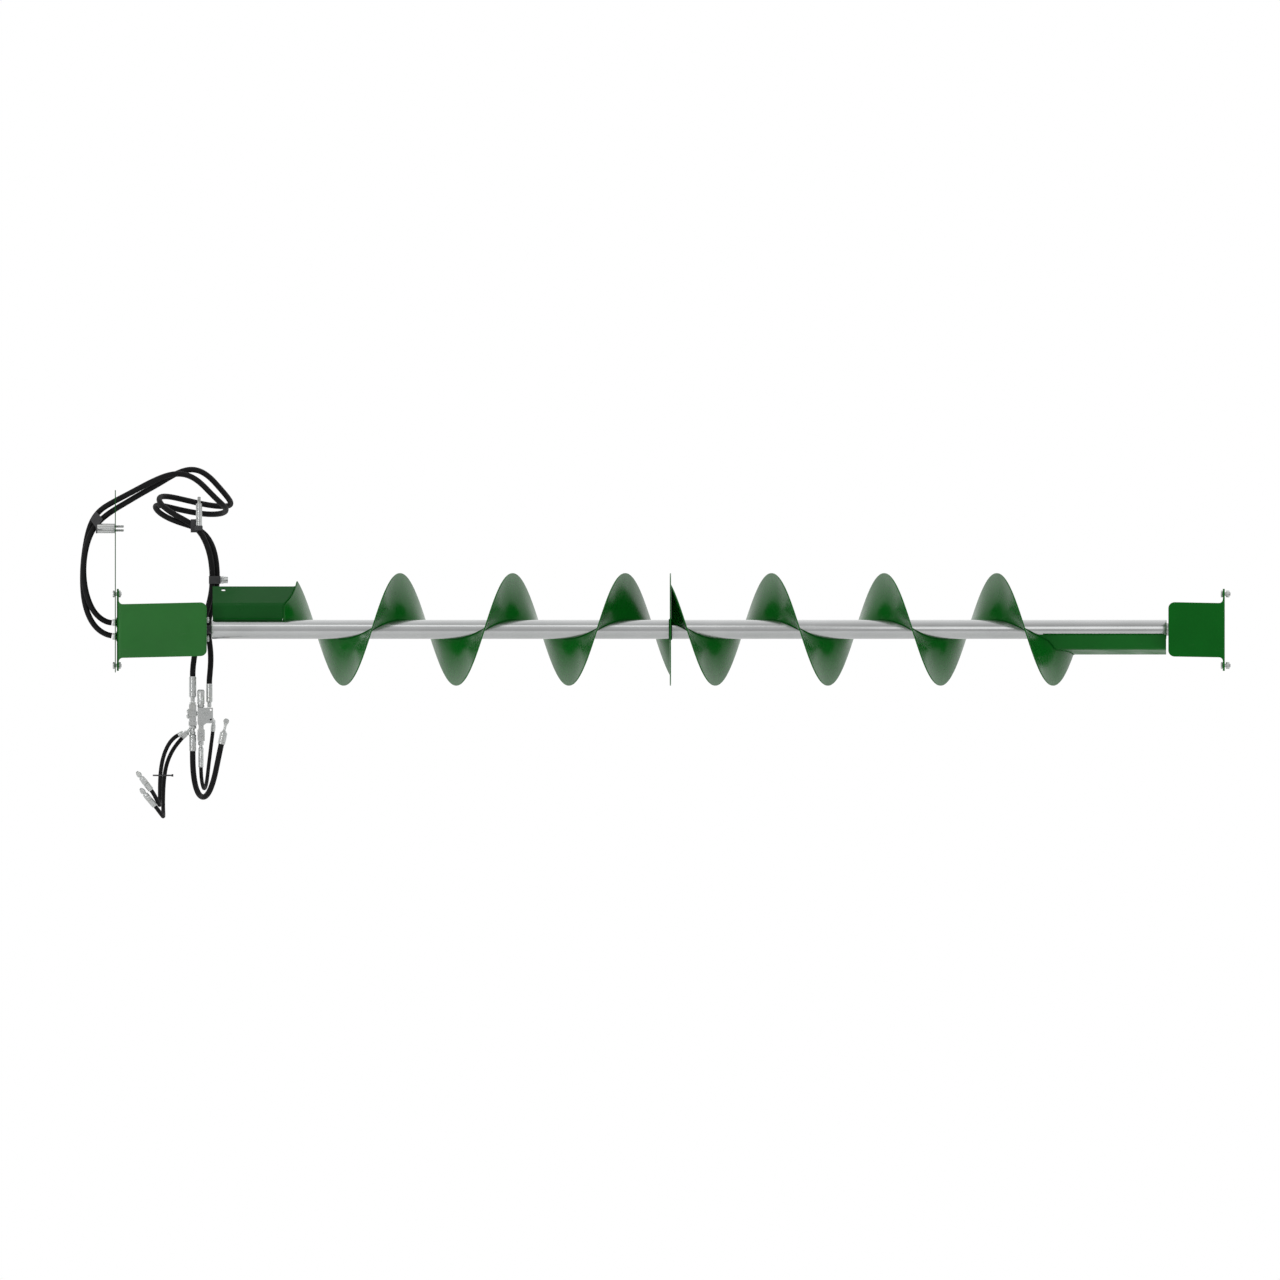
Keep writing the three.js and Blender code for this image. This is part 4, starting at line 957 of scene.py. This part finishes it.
# Two halves with a parting line, on a steel tab.
halves = rounded([
    (-84, 346, 4), (-66.5, 322, 1), (-66.5, 303, 1), (-62.3, 303, 1), (-62.3, 315, 1), (-60, 325.5, 2),
    (-44, 348, 4), (-66, 374, 4),
])
clamp("support_clamp", Solid().prism(halves, (X, Z, -Y), (0, 0.031, 0), 62), 0.5)
clamp("top_clamp", Solid().block((0.233, 0.160, 0.306), (0.256, 0.210, 0.348)))
lug = Solid().block((0.246, 0.138, 0.313), (0.271, 0.1600, 0.3275))
show("top_clamp_lug", lug, slot="black_plastic", body="frame", bevel=0.8)
clamp("back_clamp", Solid().block(*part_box("back_clamp")))

# ---- Studs ----

for k in (1, 2):
    node = f"support_standoff_{k}"
    at, _ = lengthwise(node)
    end = (support_low.x - at.x) / MM - 0.4
    lathe(f"support_stud_{k}", [
        (0, 0), (8.4, 0), (9, 0.6), (9, end - 0.6), (8.4, end), (4, end), *thread(4, end + 3.4, 84, 1.25),
        (0, 84),
    ], at, X, 48, node)
centre = middle("top_standoff")
lathe("top_stud", [
    (0, 0), (9, 0), (9.8, 0.8), (9.8, 12), (9.2, 12.6), (9.2, 13.4), (9.8, 14), (9.8, 68.2), (8, 69.5),
    (5.3, 69.5), *thread(5.3, 72, 91.2), (0, 91.2),
], (centre.x, centre.y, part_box("top_standoff")[0].z), Z, 56, "top_standoff")
lathe("back_stud", [
    (0, 0), *hexagon_steps(20.4, 0, 9.7), (10.2, 9.7), (10.5, 10.4), (10.5, 21.8), (9.6, 22.7), (5, 22.7),
    (4.4, 20), (0, 20),
], lengthwise("back_standoff")[0], X, 60, "back_standoff")

# ---- Valve group ----


def ferrule(radius, low, high):
    """A crimped sleeve, as steps of a profile: round, with two pressed grooves and turned ends."""
    span = high - low
    steps = [(radius * 0.92, low), (radius, low + 1)]
    for share in (0.14, 0.74):
        groove = low + span * share
        pressed = radius * 0.94
        steps += [(radius, groove), (pressed, groove + 0.9), (pressed, groove + 1.7), (radius, groove + 2.6)]
    return [*steps, (radius, high - 1.6), (radius * 0.9, high)]


def hanging(name, node, profile, sides=64):
    """A turned piece on a vertical line, from the top of its node down."""
    centre = middle(node)
    lathe(name, profile, (centre.x, centre.y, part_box(node)[1].z), -Z, sides, node)


hanging("hose_a_ferrule", "hose_a_fitting", [
    (0, 0), *ferrule(11.7, 0, 63.5), (8.5, 65.5), (7.6, 66), (7.6, 68), *hexagon_steps(12.6, 68.4, 77),
    (6.4, 77), (6.4, 79.7), (0, 79.7),
])
hanging("hose_b_ferrule", "hose_b_fitting", [
    (0, 0), *ferrule(10.3, 0, 56.5), (7.4, 58), (6.6, 59), (6.6, 62), *hexagon_steps(12, 62.5, 71), (6, 71),
    (6, 74.2), (0, 74.2),
])

LINE = middle("hose_a_fitting")
valve = Solid().turned([
    (0, 0), *hexagon_steps(17.4, 0, 6.6), (8.4, 6.8), (8.4, 74.6), *hexagon_steps(19.6, 75, 84),
    (6.6, 84.4), (6.6, 91.1), (0, 91.1),
], (LINE.x, LINE.y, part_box("inline_valve")[1].z), -Z, 72)
for low_z, high_z, half_x, half_y in (
    (-0.2545, -0.2366, 0.0116, 0.0124), (-0.2752, -0.2551, 0.0124, 0.0134),
    (-0.2895, -0.2758, 0.0112, 0.0124), (-0.3038, -0.2901, 0.0128, 0.0134),
):
    valve.block((LINE.x - half_x, LINE.y - half_y, low_z), (LINE.x + half_x, LINE.y + half_y, high_z))
for side_z, reach in ((-0.2582, 18.6), (-0.2742, 19.4)):
    valve.turned([
        (0, 6), (6.2, 6), (6.2, 13), *hexagon_steps(14.6, 13, reach - 2.6), (4.2, reach - 2.6),
        (4.2, reach), (0, reach),
    ], (LINE.x, LINE.y, side_z), -X, 40)
VALVE_AXIS = -0.2655
cap = [(0, 4), (5.4, 4), (5.4, 12.9), *hexagon_steps(13, 12.2, 14.7), (0, 14.7)]
valve.turned(cap, (LINE.x, LINE.y, VALVE_AXIS), X, 40)
for side_y in (-0.0135, 0.0135):
    plug = [(0, 0), (4.4, 0), (4.4, 0.9), (2.2, 0.9, 6, 2), (2.2, 0.2, 6, 2), (0, 0.2)]
    valve.turned(plug, (LINE.x, LINE.y + side_y, VALVE_AXIS), Y * side_y, 32)
show("inline_valve_body", valve, "inline_valve", bevel=0.9)

block_low, block_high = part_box("valve_block")
cartridge = middle("relief_cartridge")
left, right, top, bottom = block_low.x / MM, block_high.x / MM, block_high.z / MM, block_low.z / MM
block_outline = [
    (left, top), (right, top), (right, -296.5), (283, -296.5), (274, -303), (274, -314), (277.6, -318),
    (277.6, bottom), (left, bottom), (left, -318), (258, -314), (258, -303), (left, -298),
]
block = Solid().prism(block_outline, (X, Z, -Y), (0, block_high.y, 0), (block_high.y - block_low.y) / MM)
block_cuts = [
    round_bar(8.5, (cartridge.x, cartridge.y, -0.29), (cartridge.x, cartridge.y, -0.24)),
    round_bar(3.3, (0.2965, 0.1, -0.2545), (0.2965, 0.2, -0.2545)),
    round_bar(3.3, (0.2965, 0.1, -0.2845), (0.2965, 0.2, -0.2845)),
    round_bar(6.4, (0.2655, 0.14, -0.3335), (0.2655, 0.1475, -0.3335)),
]
show("valve_block_body", carved(block, block_cuts), "valve_block", bevel=0.8)
for k, (x, z, size) in enumerate(((0.2810, -0.2690, 8.0), (0.2655, -0.3005, 5.6), (0.2905, -0.2890, 4.6))):
    lathe(f"block_plug_{k + 1}", [
        (0, 0), (size, 0), (size, 0.9), (size * 0.9, 1.5), (size * 0.55, 1.5, 6, size * 0.5),
        (size * 0.5, 0.4, 6, size * 0.45), (0, 0.4),
    ], (x, block_low.y + 0.0001, z), -Y, 36, slot="zinc_plate", body="frame")
port_ring = [(3.6, 0), (6.3, 0), (6.3, 1.1), (5.9, 1.5), (3.6, 1.5), (3.6, 0)]
port_at = (0.2655, block_low.y + 0.003, -0.3335)
lathe("block_port_ring", port_ring, port_at, -Y, 40, slot="zinc_plate", body="frame")
hanging("relief_cap", "relief_cartridge", [
    (0, 0), (7.6, 0), (8.6, 0.6), (11.2, 3.6), (11.7, 4.8), (11.7, 5.6, 24, 11.35), (11.7, 34, 24, 11.35),
    (11.7, 35), (11.1, 36), (11.1, 37.4), (11.7, 38), (11.7, 44.6), (10.8, 46), (9.5, 46.4), (9.5, 48),
    *hexagon_steps(18.8, 48.2, 56.4), (8.1, 57), (8.1, 95.2), (0, 95.2),
], 96)
hanging("pilot_ferrule", "pilot_fitting", [
    (0, 0), *hexagon_steps(15.6, 0.2, 13.2), (5.2, 13.4), (5.2, 18), (6.4, 19), (6.4, 20.6), (5.2, 21),
    *ferrule(8.2, 21.4, 83), (0, 83),
])
hanging("supply_ferrule", "supply_fitting", [
    (0, 0), (6.6, 0), (6.6, 2), *hexagon_steps(15.6, 2.2, 9.6), (8, 9.8), (8.8, 11), *ferrule(11, 12, 63),
    (0, 63),
])


def leaving(points):
    """Just past a hose's last point, and the direction in which the hose leaves."""
    last, previous = Vector(points[-1]), Vector(points[-2])
    away = (last - previous).normalized()
    return last + away * 0.0003, away


foot, away = leaving(PILOT_HOSE)
top = foot + away * 0.034
elbow = Solid().turned([(0, 0), *ferrule(7.6, 0, 21), (5.4, 21.4), (5.4, 34), (0, 34)], foot, away, 56)
port = Vector((0.297, block_high.y + 0.0004, -0.2838))
bend = [top - away * 0.012, top - away * 0.006, top, *(top.lerp(port, t) for t in (0.2, 0.5, 0.8, 1))]
elbow.sweep(bend, lambda i: 5.6, 24)
elbow.turned([(0, 0), *hexagon_steps(15, 0.1, 8.6), (0, 8.6)], port, top - port, 48)
show("pilot_elbow_body", elbow, "pilot_elbow", bevel=0.2)

# An eye fitting with the bolt in its eye.
foot, away = leaving(SUPPLY_HOSE)
eye = foot + away * 0.073
banjo = Solid().turned([
    (0, 0), *ferrule(11.8, 0, 37), (8, 38), (7.2, 39), (7.2, 41), (5.2, 42.4), (4.2, 44), (4.2, 57),
    (5.4, 62), (6.6, 66), (0, 66),
], foot, away, 64)
banjo.turned([(4.6, -6), (8.2, -6), (9, -5.2), (9, 5.2), (8.2, 6), (4.6, 6), (4.6, -6)], eye, Y, 64)
banjo.turned([
    (0, -7.6), (2.4, -7.6), (2.4, -9), (6.6, -9), (7.4, -8.2), (7.4, -6.1), (4.4, -6.1), (4.4, 6.6),
    (3.4, 7.8), (0, 7.8),
], eye, Y, 48)
banjo_piece = show("supply_banjo", banjo, "supply_end_fitting", bevel=0.15)

TEE = Vector((0.214, 0.165, -0.333))
tee = Solid().turned([
    (0, -29), (7.8, -29), (9, -27.6), (9, -20), (8.2, -19), (8.2, 19), (9, 20), (9, 27.6), (7.8, 29),
    (0, 29),
], TEE, Y, 56)
branch = [(0, 4), *hexagon_steps(15.4, 4, 13), (5, 13), (5, 26), (0, 26)]
tee.turned(branch, TEE, Vector((0.0186, 0, 0.019)), 48)
for points, length in ((COUPLER_HOSE_1, 18), (COUPLER_HOSE_2, 12)):
    start = Vector(points[0])
    tee.turned([(0, 0.3), *ferrule(7.6, 0.3, length), (0, length)], start, start - Vector(points[1]), 48)
show("coupler_tee_body", tee, "coupler_tee", bevel=0.15)


def coupler(node, points):
    """A quick coupler's plug half: crimped sleeve, hexagon, and a nose with its locking groove."""
    foot, away = leaving(points)
    return lathe(node + "_plug", [
        (0, 0), *ferrule(9.4, 0, 27), (6.6, 27.4), (6.6, 29), *hexagon_steps(18.6, 29.4, 43), (8.6, 43.4),
        (8.9, 44), (8.9, 51), (8.2, 52), (6.4, 53), (5.2, 55), (5.2, 58), (7.4, 60), (8.2, 62), (8.3, 64.5),
        (8.2, 67), (7.3, 70.5), (5.6, 74), (4.8, 76.4), (3.4, 77), (3.2, 76), (2.6, 70), (0, 70),
    ], foot, away, 64, node)


plug_1 = coupler("quick_coupler_1", COUPLER_HOSE_1)
plug_2 = coupler("quick_coupler_2", COUPLER_HOSE_2)

tie_at = Vector((0.1435, 0.1635, -0.461))
band = [(28.9, -2.4), (30.1, -2.4), (30.3, -2.1), (30.3, 2.1), (30.1, 2.4), (28.9, 2.4), (28.9, -2.4)]
tie = Solid().turned(band, tie_at, Z, 96)
tie.block(tie_at + Vector((0.0291, -0.004, -0.004)), tie_at + Vector((0.035, 0.004, 0.004)))
tie_piece = show("tie_band", tie, "cable_tie", bevel=0.3)

hose("motor_hose_a")
hose("motor_hose_b")
hose("supply_hose")
hose("pilot_hose")
hose("coupler_hose_1")
hose("coupler_hose_2")

# ---- Studio ----


FLOOR = cad_bounds[0].z - 0.05
mesh = bpy.data.meshes.new("floor")
corners = [(-7, -1.25, FLOOR), (11, -1.25, FLOOR), (11, 8, FLOOR), (-7, 8, FLOOR)]
mesh.from_pydata(corners, [], [[0, 1, 2, 3]])
floor = placed("floor", mesh)
mesh.materials.append(Nodes("floor").finish((0.93, 0.93, 0.93, 1), 0.85))

# The room is plain white behind the object and softly banded, floor to ceiling, in front of it.
ROOM_BANDS = [
    (-1.0, 0.45), (-0.95, 0.42), (-0.88, 0.34), (-0.76, 0.62), (-0.62, 0.98), (-0.42, 0.8), (-0.22, 0.5),
    (0.0, 0.56), (0.2, 0.64), (0.36, 0.7), (0.6, 0.75), (0.68, 0.55), (0.78, 0.52), (0.9, 0.68),
    (1.0, 0.78),
]
world = bpy.data.worlds.new("studio")
bpy.context.scene.world = world
bpy.context.scene.view_settings.view_transform = "Standard"
world.use_nodes = True
tree = world.node_tree

direction = add_node(tree, "SeparateXYZ", Vector=add_node(tree, "TexCoord").outputs["Generated"]).outputs
height = add_node(tree, "MapRange", Value=direction["Z"], From_Min=-1.0, From_Max=1.0).outputs["Result"]
ramp = add_node(tree, "ValToRGB", Fac=height)
elements = ramp.color_ramp.elements
for k, (level, value) in enumerate(ROOM_BANDS):
    element = elements[k] if k < 2 else elements.new((level + 1) / 2)
    element.position = (level + 1) / 2
    element.color = (value, value, value, 1)
behind = add_node(tree, "MapRange", Value=direction["Y"], From_Min=-0.1, From_Max=0.25).outputs["Result"]
room = add_node(tree, "Mix")
room.data_type = "RGBA"
feed(room.inputs[0], behind)
feed(room.inputs[6], ramp.outputs["Color"])
feed(room.inputs[7], (1, 1, 1, 1))
feed(tree.nodes["Background"].inputs["Color"], room.outputs[2])
feed(tree.nodes["Background"].inputs["Strength"], 1.0)


def area_light(name, at, target, size, energy):
    light = bpy.data.lights.new(name, "AREA")
    light.shape = "RECTANGLE"
    light.size, light.size_y = size
    light.energy = energy
    lamp = placed(name, light)
    lamp.location = at
    lamp.rotation_euler = (Vector(target) - Vector(at)).to_track_quat("-Z", "Y").to_euler()


CENTRE = (1.65, 0, 0)
area_light("key", (0.2, -3.2, 3.4), CENTRE, (4.5, 1.2), 15)
area_light("fill", (4.2, -3.4, 1.2), CENTRE, (3.5, 1.6), 12)
area_light("edge", (-1.3, -2.4, 0.1), (0.2, 0, -0.2), (0.3, 2.4), 12)
area_light("rim", (1.65, 3.0, 2.6), CENTRE, (5.0, 0.8), 3)
